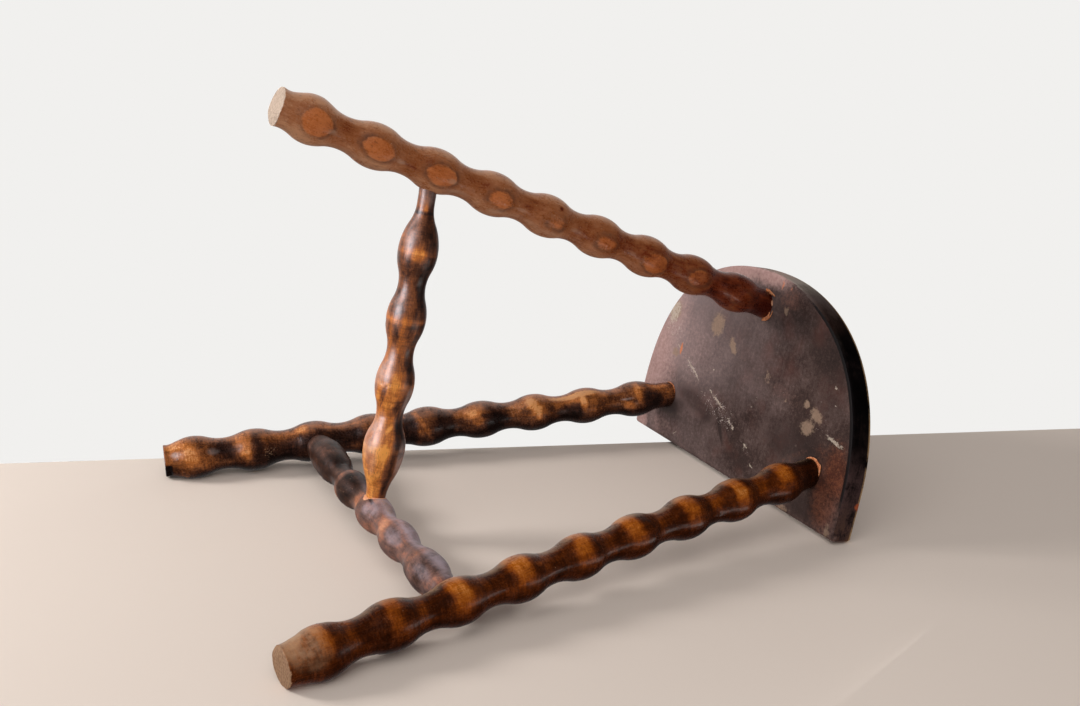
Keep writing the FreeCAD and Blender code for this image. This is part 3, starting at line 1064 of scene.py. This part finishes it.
# Dust at the front end, and painted highlights: milky patches on the bead flanks and pale reflections along
# both edges.
CENTRE_DUST_AND_SHEEN = [
    (16, 0, 10, 80, 0.25), (45, 28, 14, 26, 0.2), (95, 28, 12, 24, 0.15), (143, 34, 14, 26, 0.32),
    (191, 34, 14, 26, 0.35), (212, 34, 12, 20, 0.25), (211, -60, 14, 16, 0.6), (165, -60, 10, 16, 0.55),
    (150, 62, 10, 20, 0.35), (196, 60, 16, 22, 0.45),
]
CENTRE_CRACKS = ([(155, 22), (162, 26), (168, 33), (173, 45)], [(158, 30), (164, 35), (169, 44)])
CENTRE_BOW = [(0, 0.0), (18, 1.3), (60, 1.3), (140, 0.4), (235, 0.5), (254, 0.0)]
RAIL_STEP, RAIL_SIDES, INTO_LEG = 0.8, 124, 1.0


def crack_line(table, place, angle, wide):
    """1 on a crack that wanders round a piece as it runs along it."""
    if not table[0][0] < place < table[-1][0]:
        return 0.0
    return 1 - soft_step(abs(around(angle, between(table, place))), wide * 0.4, wide)


def centre_crack(place, angle, wide):
    """1 on either crack of the centre rail."""
    return max(crack_line(table, place, angle, wide) for table in CENTRE_CRACKS)


def centre_shape(place, angle, radius):
    """Change of the centre rail's radius: faults and two cracks."""
    change = faults(1.9, centre_marks, 0.2, place, angle, radius)
    return change - 0.25 * centre_crack(place, angle, 4)


def centre_colours(place, angle, radius):
    """Paint of the centre rail at one spot: amber in front, dark behind with painted shade, a thin ring on
    each crest.
    """
    crest = bead_wave(place, FIRST_RING, CENTRE_PITCH)
    behind = hump(-around(angle, 20), (28, 66), (150, 175))
    shaded = (0.29 + 0.12 * soft_step(place, 150, 190)) * behind
    tone = between(CENTRE_TONE, place) + 0.12 * math.exp(-((1 - crest) / 0.03) ** 2) - shaded
    tone += 0.05 * bead_wave(place, FIRST_RING, CENTRE_PITCH, 0.25)
    tone += patches(CENTRE_PATCHES, place, angle) + 0.14 * cloud(2.6, place, angle, 18, 1.5)
    tone -= 0.28 * centre_crack(place, angle, 5)
    return {
        "tone": tone,
        "layer": layer_place(place, angle, radius, 60, 0.02),
        "dust_and_sheen": patches(CENTRE_DUST_AND_SHEEN, place, angle),
        "fleck": 0.1,
    }


def centre_bow(place):
    """The rail bends to the right behind its first bead."""
    return -between(CENTRE_BOW, place)


def make_rail(node_name, shape, colouring, bow, material):
    """Turn one rail, dress it and lay it on its axis between the pieces that it joins."""
    end = lengths[node_name] + INTO_LEG
    bm = lathe(outlines[node_name], -INTO_LEG, end, RAIL_STEP, RAIL_SIDES, sole=False)
    hand_turned(bm, shape, colouring, bow)
    ends = [edge for edge in bm.edges if edge.is_boundary]
    bmesh.ops.holes_fill(bm, edges=ends, sides=0)
    bmesh.ops.transform(bm, matrix=lay_on_axis(node_name), verts=bm.verts)
    add_piece(node_name + "_turned", bm, [material], node_name)


make_rail("rail_centre", centre_shape, centre_colours, centre_bow, centre_rail_wood)

# %% Cross rail
cross_marks = dents(53, cross_length, 22)
# Darker towards the left leg: partly grey stain, partly painted shadow.
CROSS_TONE = [
    (0, 0.28), (20, 0.24), (45, 0.24), (60, 0.2), (94, 0.22), (100, 0.35), (107, 0.2), (128, 0.26),
    (138, 0.5), (160, 0.52), (190, 0.58), (215, 0.48), (250, 0.47), (300, 0.4),
]
# Rust and stain marks; the broad patch at -62 degrees lightens the upper edge as painted light.
CROSS_PATCHES = [
    (102, 0, 5, 90, 0.26), (103, 120, 7, 90, 0.2), (72, -10, 16, 40, -0.12), (118, 5, 12, 60, -0.1),
    (140, 12, 8, 40, 0.2), (151, -34, 4, 20, -0.3), (192, 0, 9, 28, 0.35), (196, 40, 10, 26, 0.15),
    (225, 6, 3, 9, 0.15), (250, 0, 5, 60, 0.15), (190, -62, 60, 34, 0.16), (265, 0, 12, 50, -0.1),
    (160, -36, 5, 20, 0.22),
]
# Painted sheen: lavender highlights on the beads and a pale reflection along the upper edge.
CROSS_SHEEN = [
    (166, 2, 10, 32, 0.58), (213, 6, 10, 28, 0.44), (268, 15, 10, 22, 0.3), (212, -70, 100, 46, 0.85),
]
CROSS_FLECK = [(116, 10, 14, 60, 0.3), (171, -60, 16, 22, 1.0)]
CROSS_FULL = [
    (8, 0.0), (12, 1.2), (16, 3.0), (22, 4.2), (29, 4.4), (36, 3.6), (43, 2.2), (50, 0.9), (58, 0.0),
]
FULL_AT_RIGHT = [(50, 0.0), (36, 2.2), (26, 3.4), (17, 3.0), (14, 0.0)]
CROSS_FULL += [(cross_length - away, full) for away, full in FULL_AT_RIGHT]
CROSS_BOW = [(12, 2.6), (45, 2.2), (90, 0.0)]
CROSS_CRACK = [(152, -24), (157, -18), (163, -15)]
HOLE_PLACE, HOLE_RADIUS = cross_length / 2, 7.2
hole_side = piece_axes("rail_cross").inverted() @ (axes["rail_centre"][0] - axes["rail_centre"][1])
HOLE_TURN = math.degrees(math.atan2(hole_side.y, hole_side.x))


def cross_shape(place, angle, radius):
    """Change of the cross rail's radius: faults, fuller ends and a crack at the hole."""
    change = faults(6.2, cross_marks, 0.35, place, angle, radius) + between(CROSS_FULL, place)
    return change - 0.4 * crack_line(CROSS_CRACK, place, angle, 6)


def hole_rim(place, angle, radius):
    """1 on the torn rim of the hole for the centre rail."""
    side = around(angle, HOLE_TURN)
    if abs(side) > 90:
        return 0.0
    away = math.hypot(place - HOLE_PLACE, radius * math.sin(math.radians(side)))
    ragged = 0.7 + 1.8 * cloud(6.6, place * 4, angle, 10, 5.0)
    return 1 - soft_step(away - HOLE_RADIUS, ragged, ragged + 1.2)


def cross_colours(place, angle, radius):
    """Paint of the cross rail at one spot: rusty where rubbed, dusty, with painted sheen, darker towards
    the left leg with painted shadow, torn round the hole.
    """
    tone = between(CROSS_TONE, place) + patches(CROSS_PATCHES, place, angle)
    tone += 0.2 * cloud(5.0, place, angle, 14, 1.5) - 0.5 * crack_line(CROSS_CRACK, place, angle, 7)
    return {
        "tone": tone,
        "layer": layer_place(place, angle, radius, 40, 0.02),
        "dust_and_sheen": 0.12 * soft_step(place, 130, 165) + patches(CROSS_SHEEN, place, angle),
        "fleck": patches(CROSS_FLECK, place, angle),
        "raw": hole_rim(place, angle, radius),
    }


def cross_bow(place):
    """The rail bends up towards the left leg."""
    return -between(CROSS_BOW, place)


make_rail("rail_cross", cross_shape, cross_colours, cross_bow, cross_rail_wood)

# %% [markdown]
# ## The seat board
# The board is flat, with a straight back edge and a full round front. Its outline is one chain of points:
# half of the front curve, the short side, the small corner and half of the back, then the other half. It
# was cut by eye, so the left half of the front is a little fuller than the right. The chain is extruded
# to the board's thickness and its rims are bevelled. Both flat faces are then filled with shrinking rings
# of quads, fine enough to hold painted stains.

# %% Seat outline
SEAT_HALF, SEAT_BACK, SEAT_FRONT, SIDE_Y, CORNER = 143.4, 93.1, -86.5, 59.5, 3.4
FULL_LEFT, FULL_RIGHT = 0.93, 0.84
FRONT_STEPS, SIDE_STEPS, BACK_STEPS = 130, 16, 70
CORNER_TURNS = (0.26, 0.52, 0.785, 1.05, 1.31, math.pi / 2)


def half_outline(fullness):
    """Points from the middle of the front round the right side to the middle of the back."""
    half = []
    for step in range(FRONT_STEPS + 1):
        t = step / FRONT_STEPS
        pull = 2 * fullness * t * (1 - t)
        total = (1 - t) ** 2 + pull + t * t
        x = (pull + t * t) * SEAT_HALF / total
        y = ((1 - t) ** 2 * SEAT_FRONT + pull * SEAT_FRONT + t * t * SIDE_Y) / total
        half.append((x, y))
    back, run = SEAT_BACK - CORNER, SEAT_HALF - CORNER
    half += [(SEAT_HALF, SIDE_Y + (back - SIDE_Y) * step / SIDE_STEPS) for step in range(1, SIDE_STEPS + 1)]
    half += [(run + CORNER * math.cos(turn), back + CORNER * math.sin(turn)) for turn in CORNER_TURNS]
    return half + [(run * (1 - step / BACK_STEPS), SEAT_BACK) for step in range(1, BACK_STEPS + 1)]


outline = half_outline(FULL_RIGHT) + [(-x, y) for x, y in reversed(half_outline(FULL_LEFT)[1:-1])]
print("seat outline:", len(outline), "points")

# %% Seat mesh
SEAT_MIDDLE = Vector((0, 12.0, 0))
TOP_ROUNDING, UNDER_ROUNDING, ROUND_STEPS = 3.0, 2.6, 5
UNDER_RINGS, TOP_RINGS, MANY_SIDES = 96, 40, 100


def fill_with_rings(bm, face, rings):
    """Replace a flat many-sided face by shrinking rings of quads round one middle point."""
    edges = face.edges[:]
    rim = bm.verts.layers.float["rim"]
    middle = Vector((SEAT_MIDDLE.x, SEAT_MIDDLE.y, face.verts[0].co.z))
    bmesh.ops.delete(bm, geom=[face], context="FACES_ONLY")
    for ring in range(1, rings):
        grown = bmesh.ops.extrude_edge_only(bm, edges=edges)["geom"]
        verts = [item for item in grown if isinstance(item, bmesh.types.BMVert)]
        step = (rings - ring) / (rings - ring + 1)
        bmesh.ops.scale(bm, vec=(step, step, 1), space=Matrix.Translation(-middle), verts=verts)
        for vert in verts:
            vert[rim] = ring / rings
        edges = [item for item in grown if isinstance(item, bmesh.types.BMEdge) and item.is_boundary]
    bmesh.ops.contextual_create(bm, geom=edges)


bm = bmesh.new()
bm.verts.layers.float.new("rim")
under = bm.faces.new([bm.verts.new((x, y, SEAT_UNDER)) for x, y in outline])
top = bmesh.ops.extrude_face_region(bm, geom=[under], use_keep_orig=True)["geom"]
top_verts = [item for item in top if isinstance(item, bmesh.types.BMVert)]
bmesh.ops.translate(bm, vec=(0, 0, SEAT_TOP - SEAT_UNDER), verts=top_verts)
bmesh.ops.recalc_face_normals(bm, faces=bm.faces)
for height, rounding in ((SEAT_TOP, TOP_ROUNDING), (SEAT_UNDER, UNDER_ROUNDING)):
    rim = [e for e in bm.edges if all(abs(v.co.z - height) < 0.01 for v in e.verts)]
    bmesh.ops.bevel(
        bm, geom=rim, offset=rounding, segments=ROUND_STEPS, profile=0.5, affect="EDGES", material=-1
    )
flats = [face for face in bm.faces if len(face.verts) > MANY_SIDES]
flats.sort(key=lambda face: face.calc_center_median().z)
fill_with_rings(bm, flats[0], UNDER_RINGS)
fill_with_rings(bm, flats[1], TOP_RINGS)
bmesh.ops.recalc_face_normals(bm, faces=bm.faces)
print("seat board:", len(bm.faces), "faces")

# %% [markdown]
# ## Stains on the seat
# The underside carries the history of the stool: tan blotches where the finish came off, a line of white
# scratches, rusty brown beside one leg. A pink margin runs along its left side and front. Each mark is one
# line in a short table: its middle, its half sizes, its turn and its strength. A mark is painted as a soft
# hill, and the material cuts the hill with noise, which gives the mark its ragged edge.

# %% Seat marks
SEAT_MARKS = {
    "tan": [
        (-53, -27, 9, 11, 8, 1), (-26, -14.5, 8, 4, 50, 1), (-104, 13, 5.2, 4.2, 0, 0.9),
        (30, -60, 3.4, 3.6, 0, 0.85), (79, 3, 4, 3.6, 0, 0.9), (93, 8, 8, 5, 25, 1),
        (86, 20, 8, 6, -25, 1), (-117, -23, 9, 10, 10, 0.9), (134, 88, 3, 6, 0, 0.9),
        (80, 90, 8, 3, 0, 0.7), (55, 8, 3, 2, 0, 0.55), (27, -3, 5, 6, 0, 0.5),
    ],
    "cream": [
        (119, 20.5, 13, 2, 9, 1), (106, -19, 1.7, 1.3, 0, 1.2), (110, -6, 1.3, 1, 0, 0.9),
        (-118, -22, 8, 13, 14, 1.0), (-120, -3, 14, 0.9, 22, 0.8), (-100, 7, 9, 0.9, 25, 0.7),
        (-76, 19, 12, 1.2, 27, 1), (-66, 24.5, 5, 1.3, 33, 0.9), (-28, 37, 12, 1.4, 24, 0.95),
        (-9, 47, 4, 1.4, 30, 0.9), (-2, 51, 4, 1.6, 40, 0.9), (20, 60, 4, 1, 25, 1),
        (18, 61, 1, 3, 0, 0.8), (32, 73, 4, 0.9, 20, 0.9), (-44, 12, 2.2, 0.8, -20, 0.9),
        (-80, 83, 4, 0.8, -32, 0.95), (-42, 31, 3, 1.2, 30, 0.8), (15, 26, 1.8, 1.4, 0, 0.6),
        (19, 18, 1.4, 2.6, 0, 0.5), (-104, 4, 5, 0.8, 10, 0.6), (49, 3, 1, 0.8, 0, 0.8),
        (-8, 40, 2.5, 0.8, 60, 0.7),
    ],
    "rust": [
        (128, 44, 24, 14, 80, 1.0), (124, 68, 24, 16, 80, 0.85), (32, -70, 16, 12, 0, 0.5),
        (112, 34, 14, 8, 20, 0.5), (42, 2, 40, 9, 8, 0.3), (-12, -10, 12, 5, 20, 0.25),
        (70, 55, 40, 5, -38, 0.35), (-10, -80, 50, 6, -4, 0.3),
    ],
    "pink": [
        (-140, 24, 36, 50, 0, 1.0), (-128, -18, 32, 34, 10, 0.75), (-40, -82, 46, 12, -14, 1.1),
        (0, -84, 26, 9, 0, 1.0), (-134, 88, 9, 9, 0, 1.2), (-100, 82, 22, 10, 0, 0.5),
        (-90, 0, 46, 30, 0, 0.32), (133, 78, 9, 18, 0, 0.35),
    ],
    "dark": [
        (-62, 46, 26, 10, 8, 0.8), (-44, 50, 16, 10, 20, 0.8), (-18, 58, 13, 2.2, 56, 1.2),
        (-28, 44, 6, 4, 40, 0.8), (-90, 60, 20, 8, -24, 0.7), (100, 80, 28, 10, 0, 0.8),
        (90, -40, 50, 40, 40, 0.35), (-26, 74, 9, 7, 0, 0.4), (10, 72, 20, 14, -20, 0.4),
        (74, 40, 36, 20, 0, 0.8), (102, -4, 22, 14, 0, 0.45),
    ],
    "flecks": [
        (-76, 19, 16, 4, 27, 1.0), (-28, 37, 18, 6, 24, 0.9), (-6, 48, 10, 6, 30, 0.9),
        (-118, -24, 10, 10, 0, 0.9), (-112, -8, 16, 10, 30, 0.9), (-29, 45, 34, 8, 15, 0.8),
        (20, 62, 10, 8, 30, 0.6), (95, 12, 16, 14, 0, 0.5),
    ],
    "bare": [(-97, 8, 1.5, 5.6, 0, 1.3), (18.5, -80, 1.2, 6, 6, 0.9), (30, -79, 1.0, 2.4, 6, 0.7)],
}
SEAT_PAINTS = (*SEAT_MARKS, "worn", "painted_sheen", "stain")
SIT_MARK = (0, 8, 92, 58, 0, 1.0)
UNDER_REACH, TOP_REACH = 2.7, 2.5
WORN_RIM, KEPT_STAIN, TOP_RIM, BACK_FACE = 2.2, 2.05, 0.3, 88
# Painted sheen: a pale veil that stands in for reflected light, strongest at the left and gone at the
# right.
SHEEN_ACROSS = [(-143, 1.0), (-110, 0.8), (-90, 0.62), (-50, 0.42), (-10, 0.24), (30, 0.12), (70, 0.0)]
SHEEN_BACK = [(-86, 1.0), (-40, 1.1), (0, 1.0), (20, 0.9), (35, 0.5), (60, 0.3), (93, 0.32)]


def hill(x, y, spot):
    """Height of one soft spot at a point: 1.5 in its middle, 0.5 on its outline, 0 well outside."""
    spot_x, spot_y, long, wide, turn, _ = spot
    cos, sin = math.cos(math.radians(turn)), math.sin(math.radians(turn))
    right, forward = x - spot_x, y - spot_y
    away = math.hypot((right * cos + forward * sin) / long, (forward * cos - right * sin) / wide)
    return max(0.0, 1.5 - away)


def strongest(x, y, spots):
    """Strongest spot of a table at a point."""
    return max(min(hill(x, y, spot), 1.0) * spot[5] for spot in spots)


for name in SEAT_PAINTS:
    bm.verts.layers.float.new(name)
layers = {name: bm.verts.layers.float[name] for name in SEAT_PAINTS}
rim_layer = bm.verts.layers.float["rim"]
for vert in bm.verts:
    x, y, z = vert.co
    if z < SEAT_UNDER + UNDER_REACH:
        for name, spots in SEAT_MARKS.items():
            vert[layers[name]] = strongest(x, y, spots)
        # Painted sheen across the underside, in place of reflected light.
        vert[layers["painted_sheen"]] = between(SHEEN_ACROSS, x) * between(SHEEN_BACK, y)
        share = soft_step(x, 20, 90) * (1 - soft_step(y, 40, 90))
        vert[layers["stain"]] = share * (1 - soft_step(vert[rim_layer], 0.008, 0.024))
    elif z > SEAT_TOP - TOP_REACH:
        vert[layers["worn"]] = min(hill(x, y, SIT_MARK), 1.0)
for face in bm.faces:
    middle = face.calc_center_median()
    kept = soft_step(middle.x, -10, 60) if middle.y < BACK_FACE else 0.0
    stained = SEAT_UNDER + WORN_RIM - KEPT_STAIN * kept
    face.material_index = int(stained < middle.z < SEAT_TOP - TOP_RIM)
print("painted", len(SEAT_PAINTS), "layers on the seat")

# %% [markdown]
# ## The finish of the seat
# Old black-brown stain over a red wood. The underside is dull and cloudy, with fine scratches along the
# grain, and a painted sheen lightens it towards its left side as a painted reflection of the light there.
# The finish is mixed from the clouds up: mottled charcoal first, warm areas next, then the painted sheen,
# blotches, flecks and scratches, each cut by its own noise. The top is worn brown where people sat.

# %% Seat material
seat_wood, tree, shader, _ = new_material("seat_wood")
spot = node(tree, "TexCoord").outputs["Object"]
GRAIN_TURN = (0, 0, math.radians(-20))
grain_line = node(
    tree, "Mapping", {"Vector": spot, "Rotation": GRAIN_TURN, "Scale": (1, 0.12, 1)}
).outputs[0]
clouds = speckle(tree, spot, 24, 6, 0.62)
streaks = speckle(tree, grain_line, 420, 4, 0.65)
specks = speckle(tree, spot, 900, 2)
ragged = speckle(tree, spot, 300, 4, 0.7)
warmth = speckle(tree, spot, 38, 3)
crumbs = speckle(tree, spot, 520, 4, 0.75)
fine = swing(tree, streaks, 0.4, ragged)
mixed = swing(tree, specks, 0.8, swing(tree, ragged, 0.8, clouds))


def ragged_mask(name, low, high, amount, pattern=ragged):
    """A painted mark with its edge broken up by noise."""
    return fade(tree, swing(tree, pattern, amount, attribute(tree, name)), low, high)


print("seat noises:", len(tree.nodes), "nodes")

# %% Seat colours
smoke = swing(tree, clouds, 1.0, 0.5)
cloud_tone = swing(tree, specks, 0.45, swing(tree, ragged, 0.6, swing(tree, streaks, 0.25, smoke)))
colour = ramp(tree, cloud_tone, [
    (0.15, 36, 25, 22), (0.42, 60, 43, 38), (0.6, 76, 57, 51), (0.9, 112, 88, 79),
])
worn_wood = blend(tree, streaks, paint(84, 48, 32), paint(134, 88, 60))
pink_wood = blend(tree, fade(tree, fine, 0.2, 0.8), paint(166, 126, 118), paint(200, 163, 154))
rusty_wood = blend(tree, fade(tree, mixed, 0.25, 0.75), paint(80, 42, 28), paint(138, 78, 52))
tan_wood = blend(tree, crumbs, paint(122, 97, 80), paint(182, 151, 126))
cream_wood = blend(tree, specks, paint(164, 142, 124), paint(224, 208, 188))
# Painted sheen: pale colour laid over the left of the underside in place of a reflection.
painted_sheen = swing(tree, fine, 0.2, swing(tree, clouds, 0.5, attribute(tree, "painted_sheen")))
painted_sheen = calc(tree, "MINIMUM", calc(tree, "MAXIMUM", painted_sheen, 0.0), 1.0)
tan = ragged_mask("tan", 0.3, 0.9, 1.9)
cream = ragged_mask("cream", 0.6, 0.9, 3.0, crumbs)
fleck_zone = add_share(tree, attribute(tree, "flecks"), -0.29, 0.85)
fleck = fade(tree, calc(tree, "SUBTRACT", swing(tree, ragged, 0.7, specks), fleck_zone), 0.0, 0.06)
for mask, strength, over in (
    (fade(tree, warmth, 0.45, 0.8), 0.8, paint(86, 53, 45)),
    (ragged_mask("worn", 0.2, 1.1, 1.6), 0.75, worn_wood),
    (painted_sheen, 0.9, paint(158, 137, 134)),
    (ragged_mask("dark", 0.2, 1.1, 1.4), 0.75, paint(40, 28, 25)),
    (ragged_mask("pink", 0.0, 1.1, 0.8), 0.8, pink_wood),
    (ragged_mask("rust", 0.2, 1.1, 0.9), 0.8, rusty_wood),
    (tan, 0.75, tan_wood),
    (cream, 0.8, cream_wood),
    (ragged_mask("bare", 0.45, 0.9, 1.0), 0.85, paint(216, 126, 76)),
    (fleck, 0.7, paint(190, 174, 164)),
    (ragged_mask("stain", 0.3, 0.7, 1.0), 0.95, paint(14, 9, 8)),
):
    colour = laid_over(tree, colour, mask, strength, over)
dull = add_share(tree, calc(tree, "MAXIMUM", tan, cream), 0.25, swing(tree, clouds, 0.3, 0.5))
height = add_share(tree, streaks, 0.4, times(tree, ragged, 0.6))
height = add_share(tree, tan, -0.2, height)
feed(tree, shader, {
    "Base Color": colour, "Roughness": dull, "Normal": bumpy(tree, height, 0.3, 0.0005),
    "Specular IOR Level": 0.1,
})
print("seat finish:", len(tree.nodes), "nodes")

# %% [markdown]
# ## The edge of the seat
# The round edge kept its stain on the right and is painted nearly black there, partly for the stain and
# partly as painted shade on the side away from the light. It has its own finish, with hardly any shine
# and a grain that runs along the edge. At the front it is a dull grey brown, partly worn stain and partly
# a painted reflection of the light above, and the lower rim there carries a painted sheen. Towards the
# right corner it is rubbed brown. A golden line runs where the upper rim is bare, and there is one red
# chip.

# %% Seat edge material
seat_edge_wood, tree, shader, _ = new_material("seat_edge_wood")
spot = node(tree, "TexCoord").outputs["Object"]
flat_grain = node(tree, "Mapping", {"Vector": spot, "Scale": (0.3, 0.3, 1)}).outputs[0]
bands = speckle(tree, flat_grain, 500, 4)
blots = speckle(tree, spot, 60, 4)
grit = speckle(tree, spot, 700, 3)
edge_tone = swing(tree, grit, 0.4, swing(tree, bands, 0.5, blots))
# Nearly black: dark stain, and painted shade on the side of the edge away from the light.
colour = ramp(tree, edge_tone, [(0.3, 5, 3, 3), (0.55, 11, 7, 7), (0.8, 28, 20, 18)])
across, forward, up = node(tree, "SeparateXYZ", {0: spot}).outputs
front_tone = swing(tree, edge_tone, 0.15, add_share(tree, across, 5.0, 0.5))
# The front of the edge: partly worn stain, partly a painted reflection of the light above.
worn_and_lit_front = ramp(tree, front_tone, [
    (0.0, 92, 72, 63), (0.35, 138, 116, 106), (0.5, 164, 140, 128), (0.64, 144, 131, 121),
    (0.71, 98, 86, 79), (0.78, 79, 66, 62), (0.85, 60, 47, 43), (0.91, 33, 21, 17), (0.97, 12, 7, 6),
])
CHIP_PLACE = (0.1434, 0.0635, 0.4495)
chip_away = node(tree, "VectorMath", {0: spot, 1: CHIP_PLACE}, operation="DISTANCE").outputs["Value"]
chip = fade(tree, swing(tree, grit, 0.004, chip_away), 0.004, 0.002)


def edge_part(*spans):
    """A part of the edge: the product of several values, each faded in over its own span."""
    return times(tree, *(fade(tree, value, start, end) for value, start, end in spans))


# Painted sheen on the lower rim at the front, in place of a reflection of the light above.
low_rim_sheen = edge_part((up, 0.4375, 0.4345), (forward, -0.045, -0.075), (edge_tone, 0.1, 0.8))
front_part = edge_part((across, 0.098, 0.084), (forward, 0.02, -0.03))
rubbed_side = edge_part((forward, 0.012, 0.045), (across, 0.06, 0.12), (edge_tone, 0.15, 0.6))
worn_corner = edge_part((forward, 0.05, 0.09), (across, 0.06, 0.12), (edge_tone, 0.3, 0.7))
golden = edge_part((up, 0.4482, 0.4497), (across, -0.03, 0.03), (edge_tone, 0.25, 0.55))
for mask, strength, over in (
    (low_rim_sheen, 0.8, paint(76, 67, 60)),
    (front_part, 1.0, worn_and_lit_front),
    (rubbed_side, 0.9, paint(62, 46, 45)),
    (worn_corner, 1.0, paint(76, 54, 44)),
    (golden, 0.9, paint(164, 132, 96)),
    (chip, 0.9, paint(150, 74, 46)),
):
    colour = laid_over(tree, colour, mask, strength, over)
feed(tree, shader, {
    "Base Color": colour, "Roughness": swing(tree, blots, 0.3, 0.6),
    "Normal": bumpy(tree, bands, 0.25, 0.0004), "Specular IOR Level": 0.01,
})

bmesh.ops.scale(bm, vec=(MM, MM, MM), verts=bm.verts)
add_piece("seat_board", bm, [seat_wood, seat_edge_wood], "seat")

# %% [markdown]
# ## Torn rims
# Years of rocking have crushed the rims of the holes in the seat. Splinters of pale bare wood stick to
# the legs there and lie flat on the board. Each one is a small grid pulled into a strip between two
# curves, with a ragged outer edge, and then given a thickness. It rests on the underside of the seat.

# %% Torn wood
torn_wood, tree, shader, _ = new_material("torn_wood")
spot = node(tree, "TexCoord").outputs["Object"]
torn_grain = node(tree, "Mapping", {"Vector": spot, "Scale": (1, 1, 0.3)}).outputs[0]
fibres = speckle(tree, torn_grain, 900, 4)
stains = speckle(tree, spot, 260, 3)
colour = ramp(tree, swing(tree, stains, 0.5, fibres), [
    (0.25, 150, 72, 36), (0.5, 206, 124, 74), (0.8, 232, 172, 132),
])
feed(tree, shader, {
    "Base Color": colour, "Roughness": 0.7, "Normal": bumpy(tree, fibres, 0.4, 0.0004),
    "Specular IOR Level": 0.2,
})
print("torn wood:", len(tree.nodes), "nodes")

# %% Splinters
ON_SEAT = SEAT_UNDER - 0.4
STRIP_THICK, RIM_RADIUS = 0.5, 11.0
RIM_STEPS, SPLINTER_STEPS = 36, 18


def strip(name, inner, outer, count):
    """A thin splinter between two curves, each given as a function of the share along it."""
    bm = bmesh.new()
    bmesh.ops.create_grid(bm, x_segments=count, y_segments=2, size=0.5)
    for vert in bm.verts:
        share = vert.co.x + 0.5
        vert.co = inner(share).lerp(outer(share), vert.co.y + 0.5) * MM
    bmesh.ops.solidify(bm, geom=bm.faces[:], thickness=STRIP_THICK * MM)
    bmesh.ops.recalc_face_normals(bm, faces=bm.faces)
    add_piece(name, bm, [torn_wood])


def torn_rim(name, leg, bow, turns, peak, width):
    """A crescent of bare wood on the seat, against a leg, from one turn round it to another."""
    (first, last), (x, y, z) = turns, piece_axes(leg).transposed()
    start = axes[leg][0]

    def at(share, out):
        """Point on the seat beside the leg, some way out from it."""
        turn = math.radians(first + (last - first) * share)
        side = x * math.cos(turn) + y * math.sin(turn)
        radius = RIM_RADIUS + out
        reach = (ON_SEAT - start.z - radius * side.z) / z.z
        return start + z * reach + side * radius + y * bow(reach)

    def outer(share):
        """Ragged outer edge of the crescent."""
        swell_up = share / peak if share < peak else (1 - share) / (1 - peak)
        ragged = 0.8 + 0.4 * noise.noise((share * 9, width, 0.5))
        return at(share, 0.3 + width * swell_up * ragged)

    strip(name, lambda share: at(share, 0.0), outer, RIM_STEPS)


def splinter(name, points, width, lift):
    """A thin pointed splinter along a bent line on the seat, with its free end lifted."""
    first, bent, last = (Vector((x, y, ON_SEAT)) for x, y in points)

    def beside(share, side):
        """Point on one side of the splinter, nearer to its line towards the free end."""
        middle = first.lerp(bent, share).lerp(bent.lerp(last, share), share)
        run = bent.lerp(last, share) - first.lerp(bent, share)
        across = Vector((-run.y, run.x, 0)).normalized()
        half = width * 0.5 * (1 - share) ** 0.6 * (0.85 + 0.3 * noise.noise((share * 7, width, side)))
        return middle + across * side * half - Vector((0, 0, lift * share * share))

    strip(name, lambda share: beside(share, -1), lambda share: beside(share, 1), SPLINTER_STEPS)


torn_rim("right_leg_rim", "leg_rear_right", right_bow, (-90, 26), 0.68, 4.4)
torn_rim("left_leg_rim", "leg_rear_left", straight, (-90, -5), 0.6, 0.8)
torn_rim("front_leg_rim", "leg_front", straight, (20, 78), 0.4, 3.4)
splinter("front_spike", [(0, -70.5), (6, -70.5), (13.5, -68.5)], 4.6, 0.8)
splinter("front_curl", [(3, -46), (13.5, -47.5), (15, -57)], 1.8, 1.2)
